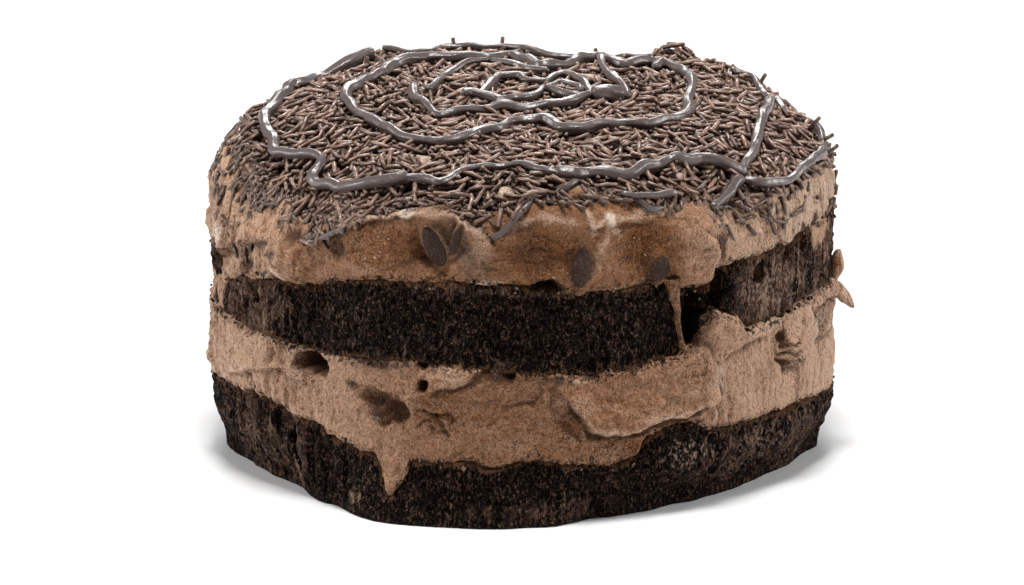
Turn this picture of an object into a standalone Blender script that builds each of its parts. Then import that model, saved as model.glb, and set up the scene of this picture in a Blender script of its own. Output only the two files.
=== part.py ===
"""An ice cream cake: two rounds of dark sponge, two thick layers of chocolate ice cream,
chips in the cream, and a domed top under sprinkles and a spiral of drizzle.

Metres, +Z up. The origin is the middle of the flat underside. The front, where the cream
is drawn down roughly and the side is most open, faces -Y.
"""

import math
import random

import bmesh
import bpy
from mathutils import Matrix, Vector, noise
from mathutils.bvhtree import BVHTree

MM = 0.001

# Driving sizes

RADIUS = 88.0 * MM
CROWN_HEIGHT = 102.0 * MM
DOME_POWER = 4.7
DOME_SWELL = 0.8 * MM
DOME_SWELL_SIZE = 22 * MM
BUMP_PLACE = (43 * MM, 60 * MM)
BUMP_WIDTH = 7 * MM
BUMP_HEIGHT = 5.0 * MM
FOOT_REACH = 16.0 * MM
LAYER_GAP = 0.3 * MM
CHIP_GAP = 0.35 * MM

# How finely the layers are divided: shares are of the radius

SEGMENTS = 72
FLAT_MIDDLE = 0.62
FLAT_END = 0.9
END_SHARE = 0.78
DOME_SHARES = (0.98, 0.94, 0.87, 0.76, 0.6, 0.4, 0.2)
WELD_DISTANCE = 0.0005
SHARP_ANGLE = math.radians(50)

# Round the cake, by angle: degrees anticlockwise from +X, and millimetres

SIDE_RADIUS = (
    (-180, 88.3), (-155, 86.5), (-137, 85), (-118, 89), (-100, 90), (-84, 88), (-68, 85.5),
    (-45, 85), (-20, 86.5), (0, 88), (45, 88.5), (90, 88), (135, 88.5),
)
FOOT_RADIUS = (
    (-180, 84.5), (-165, 79.5), (-145, 78), (-130, 84.5), (-116, 93), (-98, 91.5), (-86, 89),
    (-74, 82), (-55, 78), (-30, 77), (-10, 81), (0, 85), (45, 87), (90, 87), (135, 87),
)
SHOULDER_HEIGHT = (
    (-180, 75), (-157, 63), (-137, 70), (-118, 82), (-107, 87), (-96, 83), (-85, 88), (-68, 86),
    (-55, 81), (-45, 76), (-20, 78), (0, 77), (45, 77), (90, 77), (135, 77),
)
LOWER_SPONGE_TOP = (
    (-180, 21), (-163, 24.2), (-150, 25.4), (-135, 22.5), (-125, 20), (-118, 18), (-116, 11),
    (-114.3, 7), (-112, 12), (-110.5, 17.5), (-100, 18.7), (-95, 16.4), (-88, 19.4), (-80, 17),
    (-72, 15.4), (-68, 17.5), (-65, 23), (-60, 25), (-56, 25), (-50, 21.5), (-30, 21.3), (0, 18),
    (60, 21), (110, 19), (150, 22),
)
MIDDLE_SPONGE_FOOT = (
    (-180, 45), (-155, 44.5), (-130, 44.5), (-118, 46.5), (-108, 47.5), (-98, 46.5), (-90, 45),
    (-78, 43.5), (-70, 44.4), (-60, 46), (-57, 49.5), (-53.5, 50.5), (-51.5, 55.5), (-48.5, 57),
    (-45, 55), (-42, 51.4), (-25, 52.3), (0, 50), (60, 46), (110, 44), (150, 46),
)
MIDDLE_SPONGE_TOP = (
    (-180, 60), (-163, 55), (-155, 58.6), (-145, 61.2), (-135, 62.6), (-128, 66), (-116, 69.5),
    (-100, 71), (-92, 70.6), (-85, 67.6), (-75, 67), (-62, 67.5), (-58, 65), (-52, 66), (-48, 68.6),
    (-30, 69.6), (-20, 71), (0, 71), (60, 69), (110, 67), (150, 66),
)

# Lumps and hollows of the side: angle, height, half width, half height and depth, in mm
# A positive depth is proud of the side, a negative one goes in.

CREAM_RELIEF = (
    (-124.5, 34, 10, 7, 1.5),
    (-116, 37, 6, 5, -5),
    (-133, 42, 6, 3, -4),
    (-106, 33, 8, 4, 2),
    (-72, 27, 16, 8, 2),
    (-54, 35, 13, 8, 3.5),
    (-51, 48, 10, 7, 3.5),
    (-12, 43, 6, 6, 3),
    (-2, 46, 4, 7, 5),
    (-20, 34, 9, 9, -2),
)
TOP_LAYER_RELIEF = (
    (-130, 75, 12, 6, 3),
    (-148, 68, 9, 5, 2.5),
    (-106, 80, 9, 6, -3),
    (-80, 78, 14, 6, -2),
    (-62, 77, 8, 9, 2),
    (-90, 74, 10, 3, -3),
)
SPONGE_RELIEF = (
    (-54.6, 59, 7.5, 10, -12),
    (-146, 13, 3, 12, -3),
    (-163, 12, 3, 12, -3),
    (-128, 10, 3, 10, -3),
    (-60, 12, 14, 10, 2),
)
ROUGHNESS = {"cream": 1.3 * MM, "sponge": 1.0 * MM}
ROUGHNESS_SCALE = {"cream": 13 * MM, "sponge": 8 * MM}

# Chips in the cream of the top layer: angle, height, width, length and lean, in mm and degrees

CHIPS = (
    (-106.2, 81.0, 5.8, 12.6, -21),
    (-102.0, 83.0, 2.8, 9.0, 17),
    (-78.8, 74.9, 5.6, 11.6, 8),
    (-62.9, 72.4, 6.0, 7.2, 0),
)
CHIP_DEPTH = 5.0 * MM
CHIP_PROUD = 0.8 * MM
CHIP_FACE = 0.4
CHIP_TAPER = 0.12
CHIP_SPAN = 0.6

# Drizzle on the top: strand diameter, then the points it passes, in mm from the middle

DRIZZLE = (
    (3.2, (
        (-43, 56), (-51, 49), (-59, 45), (-62, 38), (-69, 20), (-71, 7), (-73, 1), (-73, -8),
        (-70, -18), (-70, -25), (-64, -32), (-58, -39), (-59, -48), (-54, -55), (-48, -63), (-42, -68),
        (-34, -70), (-27, -73), (-21, -75), (-15, -69), (-8, -67), (2, -68), (8, -73), (15, -74),
        (22, -69), (30, -69), (34, -64), (41, -58), (49, -51), (56, -47), (64, -45),
    )),
    (2.9, (
        (39, 37), (41, 44), (46, 34), (48, 25), (49, 15), (49, 5), (48, -3), (48, -14), (42, -23),
        (34, -31), (25, -34), (16, -38), (9, -33), (2, -28), (-5, -34), (-9, -40), (-15, -46),
        (-23, -48), (-30, -45), (-36, -35), (-40, -29), (-42, -22), (-46, -15), (-48, -6), (-50, 6),
        (-44, 19), (-40, 27), (-38, 34), (-30, 43), (-22, 45), (-13, 43), (-6, 45), (0, 40), (6, 29),
        (12, 32), (15, 41), (18, 47), (25, 46), (30, 40), (39, 48),
    )),
    (2.9, (
        (-30, 9), (-30, -2), (-28, -10), (-26, -16), (-19, -21), (-13, -16), (-7, -14), (2, -14),
        (8, -12), (15, -8), (23, -2),
    )),
    (2.5, (
        (-17, -1), (-10, 0), (-4, -5), (3, -4), (7, 8), (12, -1), (17, -2),
    )),
    (2.8, (
        (71, 17), (71, 1), (69, -8), (68, -14), (68, -22), (67, -29), (66, -35), (62, -47),
    )),
    (2.6, (
        (63, -46), (71, -45), (77, -38), (80, -32), (82, -26), (86, -13), (86, -9),
    )),
    (3.0, (
        (63, -49), (59, -56), (54, -65),
    )),
    (2.4, (
        (-40, 57), (-34, 60), (-28, 62), (-16, 63), (-3, 62), (9, 57), (20, 57), (27, 56), (38, 54),
    )),
)
DRIZZLE_STEP = 7.0 * MM
DRIZZLE_SIDES = 2
DRIZZLE_SINK = 0.25
DRIZZLE_REACH = 0.96
DRIZZLE_STAGGER = 0.17 * MM
DRIZZLE_UNEVEN = 0.16
DRIZZLE_UNEVEN_SIZE = 9 * MM

# Sprinkles on the top

SPRINKLE_COUNT = 100
SPRINKLE_DIAMETER = 1.7 * MM
SPRINKLE_LENGTHS = (6.0 * MM, 8.5 * MM)
SPRINKLE_SIDES = 5
SPRINKLE_SINK = 0.3
SPRINKLE_REACH = 0.93
SPRINKLE_SEED = 11
GOLDEN_ANGLE = math.pi * (3.0 - math.sqrt(5.0))

# Base colour, roughness

COLOURS = {
    "sponge": ((0.022, 0.013, 0.010), 0.9),
    "cream": ((0.270, 0.140, 0.083), 0.5),
    "topping": ((0.120, 0.072, 0.052), 0.45),
    "chip": ((0.050, 0.028, 0.022), 0.35),
}


def clear_scene():
    for old in list(bpy.data.objects):
        bpy.data.objects.remove(old, do_unlink=True)


def make_material(name):
    colour, roughness = COLOURS[name]
    material = bpy.data.materials.new(name)
    material.use_nodes = True
    shader = material.node_tree.nodes["Principled BSDF"]
    shader.inputs["Base Color"].default_value = (*colour, 1.0)
    shader.inputs["Roughness"].default_value = roughness
    shader.inputs["Metallic"].default_value = 0.0
    return material


def new_object(name, mesh, material):
    item = bpy.data.objects.new(name, mesh)
    bpy.context.collection.objects.link(item)
    item.data.materials.clear()
    item.data.materials.append(material)
    return item


def ease(value):
    value = min(max(value, 0.0), 1.0)
    return value * value * (3.0 - 2.0 * value)


def around(table, angle):
    """The value of a table of (degrees, mm) at an angle in radians, eased between its rows."""
    degrees = math.degrees(angle)
    while degrees < table[0][0]:
        degrees += 360.0
    while degrees >= table[0][0] + 360.0:
        degrees -= 360.0
    rows = list(table) + [(table[0][0] + 360.0, table[0][1])]
    for (start, low), (end, high) in zip(rows, rows[1:]):
        if degrees <= end:
            return (low + (high - low) * ease((degrees - start) / (end - start))) * MM
    return rows[-1][1] * MM


def relief(features, angle, height):
    """How far the named lumps and hollows move the side at a place on it."""
    total = 0.0
    for centre, level, half_width, half_height, depth in features:
        turn = (math.degrees(angle) - centre + 180.0) % 360.0 - 180.0
        across = math.radians(turn) * RADIUS / (half_width * MM)
        up = (height - level * MM) / (half_height * MM)
        distance = math.hypot(across, up)
        if distance < 1.0:
            total += depth * MM * (1.0 - ease(distance))
    return total


def side_radius(angle, height):
    """The plan radius of the side, drawn in at the foot."""
    wide = around(SIDE_RADIUS, angle)
    foot = around(FOOT_RADIUS, angle)
    return foot + (wide - foot) * ease(height / FOOT_REACH)


def boundary_height(table, angle, share):
    """The height of the surface between two layers, level in the middle of the cake."""
    outer = around(table, angle)
    level = sum(row[1] for row in table) / len(table) * MM
    return level + (outer - level) * ease((share - FLAT_MIDDLE) / (FLAT_END - FLAT_MIDDLE))


def dome_height(x, y):
    """The height of the top surface above a place in plan."""
    angle = math.atan2(y, x)
    shoulder = around(SHOULDER_HEIGHT, angle)
    share = min(math.hypot(x, y) / side_radius(angle, shoulder), 1.0)
    arch = math.sqrt(1.0 - share ** DOME_POWER)
    swell = DOME_SWELL * noise.noise(Vector((x, y, 0.0)) / DOME_SWELL_SIZE) * arch
    bump = BUMP_HEIGHT * math.exp(-(math.dist((x, y), BUMP_PLACE) / BUMP_WIDTH) ** 2)
    return shoulder + (CROWN_HEIGHT - shoulder) * arch + swell + bump


def crag(kind, angle, height):
    """Small roughness of the side."""
    place = Vector((math.cos(angle) * RADIUS, math.sin(angle) * RADIUS, height))
    return ROUGHNESS[kind] * noise.fractal(place / ROUGHNESS_SCALE[kind], 0.8, 2.0, 3)


def split_alike(drum):
    """Cuts each four-sided face of the ends from its inner corner, alike in every layer."""
    for face in [face for face in drum.faces if len(face.verts) == 4]:
        corners = list(face.verts)
        if max(corner.co.z for corner in corners) - min(corner.co.z for corner in corners) > 0.001:
            continue
        first = min(corners, key=lambda corner: (
            round(math.hypot(corner.co.x, corner.co.y), 3), math.atan2(corner.co.y, corner.co.x),
        ))
        opposite = corners[corners.index(first) - 2]
        bmesh.utils.face_split(face, first, opposite)


def build_layer(name, kind, lower, upper, rows, features, material):
    """A layer spun from its outline as a plain drum, then shaped: lower and upper are tables."""
    drum = bmesh.new()
    outline = [(0.0, 0.0), (END_SHARE, 0.0)]
    outline += [(1.0, row / rows) for row in range(rows + 1)]
    if upper is None:
        outline += [(share, 1.0) for share in DOME_SHARES]
    else:
        outline += [(END_SHARE, 1.0)]
    outline.append((0.0, 1.0))
    points = [drum.verts.new((share, 0.0, level)) for share, level in outline]
    edges = [drum.edges.new(pair) for pair in zip(points, points[1:])]
    bmesh.ops.spin(
        drum, geom=points + edges, cent=(0, 0, 0), axis=(0, 0, 1), dvec=(0, 0, 0),
        angle=math.tau, steps=SEGMENTS, use_merge=True,
    )
    bmesh.ops.remove_doubles(drum, verts=drum.verts, dist=WELD_DISTANCE)
    split_alike(drum)
    for vertex in drum.verts:
        share = math.hypot(vertex.co.x, vertex.co.y)
        level = vertex.co.z
        angle = math.atan2(vertex.co.y, vertex.co.x)
        foot = boundary_height(lower, angle, share) + LAYER_GAP / 2 if lower else 0.0
        if upper is None:
            head = around(SHOULDER_HEIGHT, angle)
        else:
            head = boundary_height(upper, angle, share) - LAYER_GAP / 2
        height = foot + (head - foot) * level
        radius = share * side_radius(angle, height)
        if share > 0.999 and 0.001 < level < 0.999:
            radius += relief(features, angle, height) + crag(kind, angle, height)
        x = radius * math.cos(angle)
        y = radius * math.sin(angle)
        if upper is None and level > 0.999:
            height = dome_height(x, y)
        vertex.co = (x, y, height)
    bmesh.ops.recalc_face_normals(drum, faces=drum.faces)
    bmesh.ops.triangulate(drum, faces=drum.faces, quad_method="FIXED")
    mesh = bpy.data.meshes.new(name)
    drum.to_mesh(mesh)
    drum.free()
    mesh.shade_smooth()
    mesh.set_sharp_from_angle(angle=SHARP_ANGLE)
    return new_object(name, mesh, material)


def smooth_route(points, step):
    """Points a step apart along a smooth curve through the given ones."""
    ends = [points[0]] + list(points) + [points[-1]]
    route = []
    for before, start, end, after in zip(ends, ends[1:], ends[2:], ends[3:]):
        length = math.dist(start, end) * MM
        count = max(1, round(length / step))
        for index in range(count):
            t = index / count
            place = [
                0.5 * (2 * b + (c - a) * t + (2 * a - 5 * b + 4 * c - d) * t * t
                       + (3 * b - a - 3 * c + d) * t ** 3)
                for a, b, c, d in zip(before, start, end, after)
            ]
            route.append((place[0] * MM, place[1] * MM))
    route.append((points[-1][0] * MM, points[-1][1] * MM))
    return route


def surface_tree(item):
    shape = bmesh.new()
    shape.from_mesh(item.data)
    tree = BVHTree.FromBMesh(shape)
    shape.free()
    return tree


def side_reach(tree, angle, height):
    """How far out from the middle a surface is, at an angle and a height."""
    outward = Vector((math.cos(angle), math.sin(angle), 0.0))
    hit = tree.ray_cast(outward * 2 * RADIUS + Vector((0.0, 0.0, height)), -outward)[0]
    return math.hypot(hit.x, hit.y)


def surface_finder(item):
    """A function that gives the height of an object's top above a place in plan."""
    tree = surface_tree(item)

    def surface_height(x, y):
        hit = tree.ray_cast(Vector((x, y, 2 * CROWN_HEIGHT)), Vector((0, 0, -1)))[0]
        return hit.z if hit else 0.0

    return surface_height


def build_drizzle(index, diameter, points, surface_height, material):
    """One strand of drizzle, a tube that lies on the dome."""
    curve = bpy.data.curves.new("drizzle", "CURVE")
    curve.dimensions = "3D"
    curve.bevel_depth = diameter * MM / 2
    curve.bevel_resolution = DRIZZLE_SIDES - 1
    curve.use_fill_caps = True
    route = smooth_route(points, DRIZZLE_STEP)
    spline = curve.splines.new("POLY")
    spline.points.add(len(route) - 1)
    lift = diameter * MM * (0.5 - DRIZZLE_SINK) - DRIZZLE_STAGGER * (index % 3)
    for point, (x, y) in zip(spline.points, route):
        angle = math.atan2(y, x)
        limit = DRIZZLE_REACH * side_radius(angle, around(SHOULDER_HEIGHT, angle))
        inside = min(1.0, limit / max(math.hypot(x, y), MM))
        x *= inside
        y *= inside
        point.co = (x, y, surface_height(x, y) + lift, 1.0)
        uneven = noise.noise(Vector((x, y, 0.1 * index)) / DRIZZLE_UNEVEN_SIZE)
        point.radius = 1.0 + DRIZZLE_UNEVEN * uneven
    strand = bpy.data.objects.new("drizzle", curve)
    bpy.context.collection.objects.link(strand)
    evaluated = strand.evaluated_get(bpy.context.evaluated_depsgraph_get())
    mesh = bpy.data.meshes.new_from_object(evaluated)
    bpy.data.objects.remove(strand)
    tidy = bmesh.new()
    tidy.from_mesh(mesh)
    bmesh.ops.remove_doubles(tidy, verts=tidy.verts, dist=0.02 * MM)
    bmesh.ops.recalc_face_normals(tidy, faces=tidy.faces)
    tidy.to_mesh(mesh)
    tidy.free()
    return new_object("drizzle_strand", mesh, material)


def slope_normal(surface_height, x, y):
    step = 2 * MM
    slope_x = (surface_height(x + step, y) - surface_height(x - step, y)) / (2 * step)
    slope_y = (surface_height(x, y + step) - surface_height(x, y - step)) / (2 * step)
    return Vector((-slope_x, -slope_y, 1.0)).normalized()


def build_sprinkle(place, normal, turn, length, material):
    """A sprinkle: a short rod with blunt pointed ends, lying along the surface."""
    rod = bmesh.new()
    radius = SPRINKLE_DIAMETER / 2
    bmesh.ops.create_cone(
        rod, cap_ends=True, segments=SPRINKLE_SIDES, radius1=radius, radius2=radius, depth=length,
    )
    along = (Vector((math.cos(turn), math.sin(turn), 0.0)).cross(normal)).normalized()
    across = normal.cross(along)
    frame = Matrix((across, normal, along)).transposed().to_4x4()
    lie = Matrix.Translation(place + normal * radius * (1.0 - 2.0 * SPRINKLE_SINK)) @ frame
    bmesh.ops.transform(rod, matrix=lie, verts=rod.verts)
    mesh = bpy.data.meshes.new("sprinkle")
    bmesh.ops.recalc_face_normals(rod, faces=rod.faces)
    rod.to_mesh(mesh)
    rod.free()
    return new_object("sprinkle", mesh, material)


def build_sprinkles(surface_height, material):
    """Sprinkles laid on a sunflower spiral, so that they are spread evenly."""
    draw = random.Random(SPRINKLE_SEED)
    made = []
    for index in range(SPRINKLE_COUNT):
        share = SPRINKLE_REACH * math.sqrt((index + 0.5) / SPRINKLE_COUNT)
        angle = math.atan2(math.sin(index * GOLDEN_ANGLE), math.cos(index * GOLDEN_ANGLE))
        radius = share * around(SIDE_RADIUS, angle)
        x = radius * math.cos(angle) + draw.uniform(-2, 2) * MM
        y = radius * math.sin(angle) + draw.uniform(-2, 2) * MM
        turn = draw.uniform(0.0, math.tau)
        length = draw.uniform(*SPRINKLE_LENGTHS)
        place = Vector((x, y, surface_height(x, y)))
        normal = slope_normal(surface_height, x, y)
        made.append(build_sprinkle(place, normal, turn, length, material))
    return made


def build_chip(name, row, tree, gap, material):
    """A chip of chocolate set in the side, its outer face nearly flat; a gap makes its socket."""
    angle, height, width, length, lean = row
    angle = math.radians(angle)
    height = height * MM
    chip = bmesh.new()
    bmesh.ops.create_uvsphere(chip, u_segments=12, v_segments=8, radius=1.0)
    for vertex in chip.verts:
        vertex.co.x *= 1.0 - CHIP_TAPER * vertex.co.z
        if vertex.co.y < 0.0:
            vertex.co.y *= CHIP_FACE
    size = Matrix.Diagonal((
        width * MM / 2 + gap, CHIP_DEPTH / 2 + gap, length * MM / 2 + gap, 1.0,
    ))
    span = CHIP_SPAN * length * MM
    below = side_reach(tree, angle, height - span / 2)
    above = side_reach(tree, angle, height + span / 2)
    radius = (below + above) / 2 - CHIP_FACE * CHIP_DEPTH / 2 + CHIP_PROUD
    place = Matrix.Translation((radius * math.cos(angle), radius * math.sin(angle), height))
    turn = Matrix.Rotation(angle + math.pi / 2, 4, "Z")
    turn @= Matrix.Rotation(math.atan2(above - below, span), 4, "X")
    turn @= Matrix.Rotation(math.radians(lean), 4, "Y")
    bmesh.ops.transform(chip, matrix=place @ turn @ size, verts=chip.verts)
    bmesh.ops.recalc_face_normals(chip, faces=chip.faces)
    bmesh.ops.triangulate(chip, faces=chip.faces)
    mesh = bpy.data.meshes.new(name)
    chip.to_mesh(mesh)
    chip.free()
    return new_object(name, mesh, material)


def apply_boolean(target, operation, group, solver):
    """Joins a collection to a solid, or cuts it out, and removes the collection's objects."""
    modifier = target.modifiers.new("join", "BOOLEAN")
    modifier.operation = operation
    modifier.operand_type = "COLLECTION"
    modifier.collection = group
    modifier.solver = solver
    evaluated = target.evaluated_get(bpy.context.evaluated_depsgraph_get())
    mesh = bpy.data.meshes.new_from_object(evaluated)
    target.modifiers.clear()
    target.data = mesh
    for item in list(group.objects):
        bpy.data.objects.remove(item, do_unlink=True)
    bpy.data.collections.remove(group)


def keep_largest_shell(item):
    """Fills hollows that the joining sealed and drops loose scraps."""
    shape = bmesh.new()
    shape.from_mesh(item.data)
    left = set(shape.verts)
    shells = []
    while left:
        shell = [left.pop()]
        for vertex in shell:
            for edge in vertex.link_edges:
                other = edge.other_vert(vertex)
                if other in left:
                    left.remove(other)
                    shell.append(other)
        shells.append(shell)
    shells.sort(key=len)
    for shell in shells[:-1]:
        bmesh.ops.delete(shape, geom=shell, context="VERTS")
    shape.to_mesh(item.data)
    shape.free()


def gather(name, items):
    group = bpy.data.collections.new(name)
    bpy.context.scene.collection.children.link(group)
    for item in items:
        group.objects.link(item)
    return group


def build_cake():
    clear_scene()
    materials = {name: make_material(name) for name in COLOURS}
    build_layer("sponge_bottom", "sponge", None, LOWER_SPONGE_TOP, 4, SPONGE_RELIEF, materials["sponge"])
    build_layer(
        "ice_cream_lower", "cream", LOWER_SPONGE_TOP, MIDDLE_SPONGE_FOOT, 5, CREAM_RELIEF,
        materials["cream"],
    )
    build_layer(
        "sponge_middle", "sponge", MIDDLE_SPONGE_FOOT, MIDDLE_SPONGE_TOP, 4, SPONGE_RELIEF,
        materials["sponge"],
    )
    top = build_layer(
        "ice_cream_upper", "cream", MIDDLE_SPONGE_TOP, None, 3, TOP_LAYER_RELIEF, materials["cream"],
    )
    sockets = []
    tree = surface_tree(top)
    for index, row in enumerate(CHIPS, 1):
        build_chip(f"chocolate_chip_{index}", row, tree, 0.0, materials["chip"])
        sockets.append(build_chip("socket", row, tree, CHIP_GAP, materials["cream"]))
    apply_boolean(top, "DIFFERENCE", gather("sockets", sockets), "EXACT")
    surface_height = surface_finder(top)
    topping = build_sprinkles(surface_height, materials["topping"])
    for index, (diameter, points) in enumerate(DRIZZLE):
        topping.append(build_drizzle(index, diameter, points, surface_height, materials["topping"]))
    apply_boolean(top, "UNION", gather("topping", topping), "MANIFOLD")
    keep_largest_shell(top)


build_cake()
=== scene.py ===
"""Dresses the ice cream cake: crumbly sponge, dragged ice cream, chips, sprinkles and drizzle.

Laid out as a Blender add-on and run as a script. Metres, +Z up, with the front towards -Y.
"""

import math
import random

import bmesh
import bpy
import numpy as np
from mathutils import Matrix, Vector, noise


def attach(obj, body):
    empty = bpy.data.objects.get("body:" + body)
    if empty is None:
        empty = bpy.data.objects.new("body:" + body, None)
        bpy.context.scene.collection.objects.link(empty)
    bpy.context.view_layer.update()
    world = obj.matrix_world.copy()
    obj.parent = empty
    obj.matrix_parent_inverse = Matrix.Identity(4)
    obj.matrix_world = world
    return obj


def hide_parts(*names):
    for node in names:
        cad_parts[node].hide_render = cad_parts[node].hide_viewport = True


bl_info = {
    "name": "Ice Cream Cake",
    "version": (1, 0, 0),
    "blender": (4, 5, 0),
    "location": "3D View > Sidebar > Cake",
    "description": "Models a layered ice cream cake under sprinkles and drizzle",
    "category": "Add Mesh",
}

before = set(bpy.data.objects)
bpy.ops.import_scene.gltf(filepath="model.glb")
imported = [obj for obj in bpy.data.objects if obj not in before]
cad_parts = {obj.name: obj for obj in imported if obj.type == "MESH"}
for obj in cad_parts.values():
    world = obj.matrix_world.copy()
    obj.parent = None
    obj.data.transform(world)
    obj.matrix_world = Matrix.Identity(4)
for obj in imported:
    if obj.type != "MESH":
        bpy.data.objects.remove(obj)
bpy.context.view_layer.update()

# Lengths are in metres, but the mean radius and the mean arc of a degree are in mm, and the
# two steps are in the units of the routes that they divide

MM = 0.001
MEAN_RADIUS = 87.0
MEAN_ARC = MEAN_RADIUS * math.pi / 180.0
SEAM = 1e-6
FOOT_REACH = 16.0 * MM
SPONGE_TUCK = 1.6 * MM
SPONGE_RIM = 3 * MM
CREAM_RIM = 4 * MM
BED_DEPTH = 4.0 * MM
CHIP_PROUD = 1.05 * MM
SHORTEST_ROD = 0.003
LENGTH_SPREAD = 0.0011
BEND_SPREAD = 0.04
STRAND_STEP = 0.8
PILLAR_STEP = 0.5
PROFILE_POINTS = 18
TOPPING_SEED = 5
CRUMB_SEED = 8
NOISE_SEED = 4

# Round the cake, by angle: degrees anticlockwise from +X, and millimetres

SIDE_RADIUS = (
    (-180, 88.3), (-155, 86.5), (-137, 85), (-118, 89), (-100, 90), (-84, 88), (-68, 85.5),
    (-45, 85), (-20, 87), (-6, 89), (8, 89), (45, 88.5), (90, 88), (135, 88.5),
)
FOOT_RADIUS = (
    (-180, 84.5), (-165, 79.5), (-145, 78), (-130, 84.5), (-116, 93), (-98, 91.5), (-86, 89),
    (-74, 82), (-55, 78), (-30, 77), (-10, 81), (0, 85), (45, 87), (90, 87), (135, 87),
)
SHOULDER_HEIGHT = (
    (-180, 75), (-157, 63), (-137, 70), (-118, 82), (-107, 87), (-96, 83), (-85, 88), (-68, 86),
    (-55, 81), (-45, 76), (-20, 78), (0, 77), (45, 77), (90, 77), (135, 77),
)
LOWER_SPONGE_TOP = (
    (-180, 21), (-163, 24.2), (-150, 25.4), (-135, 22.5), (-125, 20), (-118, 18), (-116, 11),
    (-114.3, 7), (-112, 12), (-110.5, 17.5), (-100, 18.7), (-95, 16.4), (-88, 19.4), (-80, 17),
    (-72, 15.4), (-68, 17.5), (-65, 23), (-60, 25), (-56, 25), (-50, 21.5), (-30, 21.3), (0, 18),
    (60, 21), (110, 19), (150, 22),
)
MIDDLE_SPONGE_FOOT = (
    (-180, 45), (-155, 44.5), (-130, 44.5), (-118, 46.5), (-108, 47.5), (-98, 46.5), (-90, 45),
    (-78, 43.5), (-70, 44.4), (-60, 46), (-57.5, 48.6), (-54.4, 49.4), (-52.8, 55.4), (-50.5, 57.2),
    (-48, 56.8), (-45, 54.5), (-41, 50), (-30, 49.8), (-24, 51.4), (-12, 51.8), (0, 50), (60, 46),
    (110, 44), (150, 46),
)
MIDDLE_SPONGE_TOP = (
    (-180, 60), (-163, 55), (-155, 58.6), (-145, 61.2), (-135, 62.6), (-128, 66), (-116, 69.5),
    (-100, 71), (-92, 70.6), (-85, 67.6), (-75, 67), (-62, 67.5), (-58, 64.4), (-52, 64.4), (-48, 68.6),
    (-30, 69.6), (-20, 71), (0, 71), (60, 69), (110, 67), (150, 66),
)

# Swells and dips of the top, in mm: middle, reach and rise

SWELLS = (
    (44, 60, 8, 7.5), (14, 66, 22, -2.4), (-28, 62, 20, 1.0), (58, 48, 10, 4.6), (71, 36, 8, 2.6),
    (-72, 30, 9, -1.4), (36, 57, 4, -1.4), (-57, 50, 8, -1.6), (-43, 58, 7, 3.2), (-9, 66, 9, 1.0),
    (3, 62, 7, 1.5),
    (78, 20, 6, -1.2),
)

# How far round the sprinkles lie thick, as a share of the radius, and how far the ice cream
# stands proud of the sponge at its edges, in mm

DENSE_REACH = (
    (-180, 0.895), (-170, 0.89), (-158, 0.905), (-148, 0.935), (-138, 0.98), (-122, 0.985),
    (-112, 0.97), (-90, 0.965), (-65, 0.965), (-50, 0.96), (-45, 0.975), (-30, 0.98), (0, 0.985),
    (90, 0.985), (140, 0.97), (152, 0.94), (165, 0.905),
)
UPPER_LIP = (
    (-180, 1.6), (-163, 1.6), (-150, 0.8), (-144, 2.0), (-136, 2.2), (-128, 0.8), (-110, 0.4),
    (-65, 0.5), (-60, 1.6), (-52, 2.4), (-46, 1.4), (-40, 0.6), (-20, 1.0), (0, 1.6),
)
LOWER_LIP = (
    (-180, 1.4), (-150, 0.8), (-120, 0.5), (-90, 0.5), (-70, 0.9), (-55, 1.6), (-35, 1.2), (0, 1.5),
)
LOWER_HEAD_LIP = (
    (-180, 1.4), (-150, 0.8), (-120, 0.4), (-62, 0.5), (-56, 1.4), (-51, 2.2), (-45, 1.8),
    (-38, 0.8), (0, 1.5),
)

# Lumps and hollows of the side: angle, height, half width, half height and depth in mm, and
# the share of their reach over which they keep their full depth. Depth is positive where proud.

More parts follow.
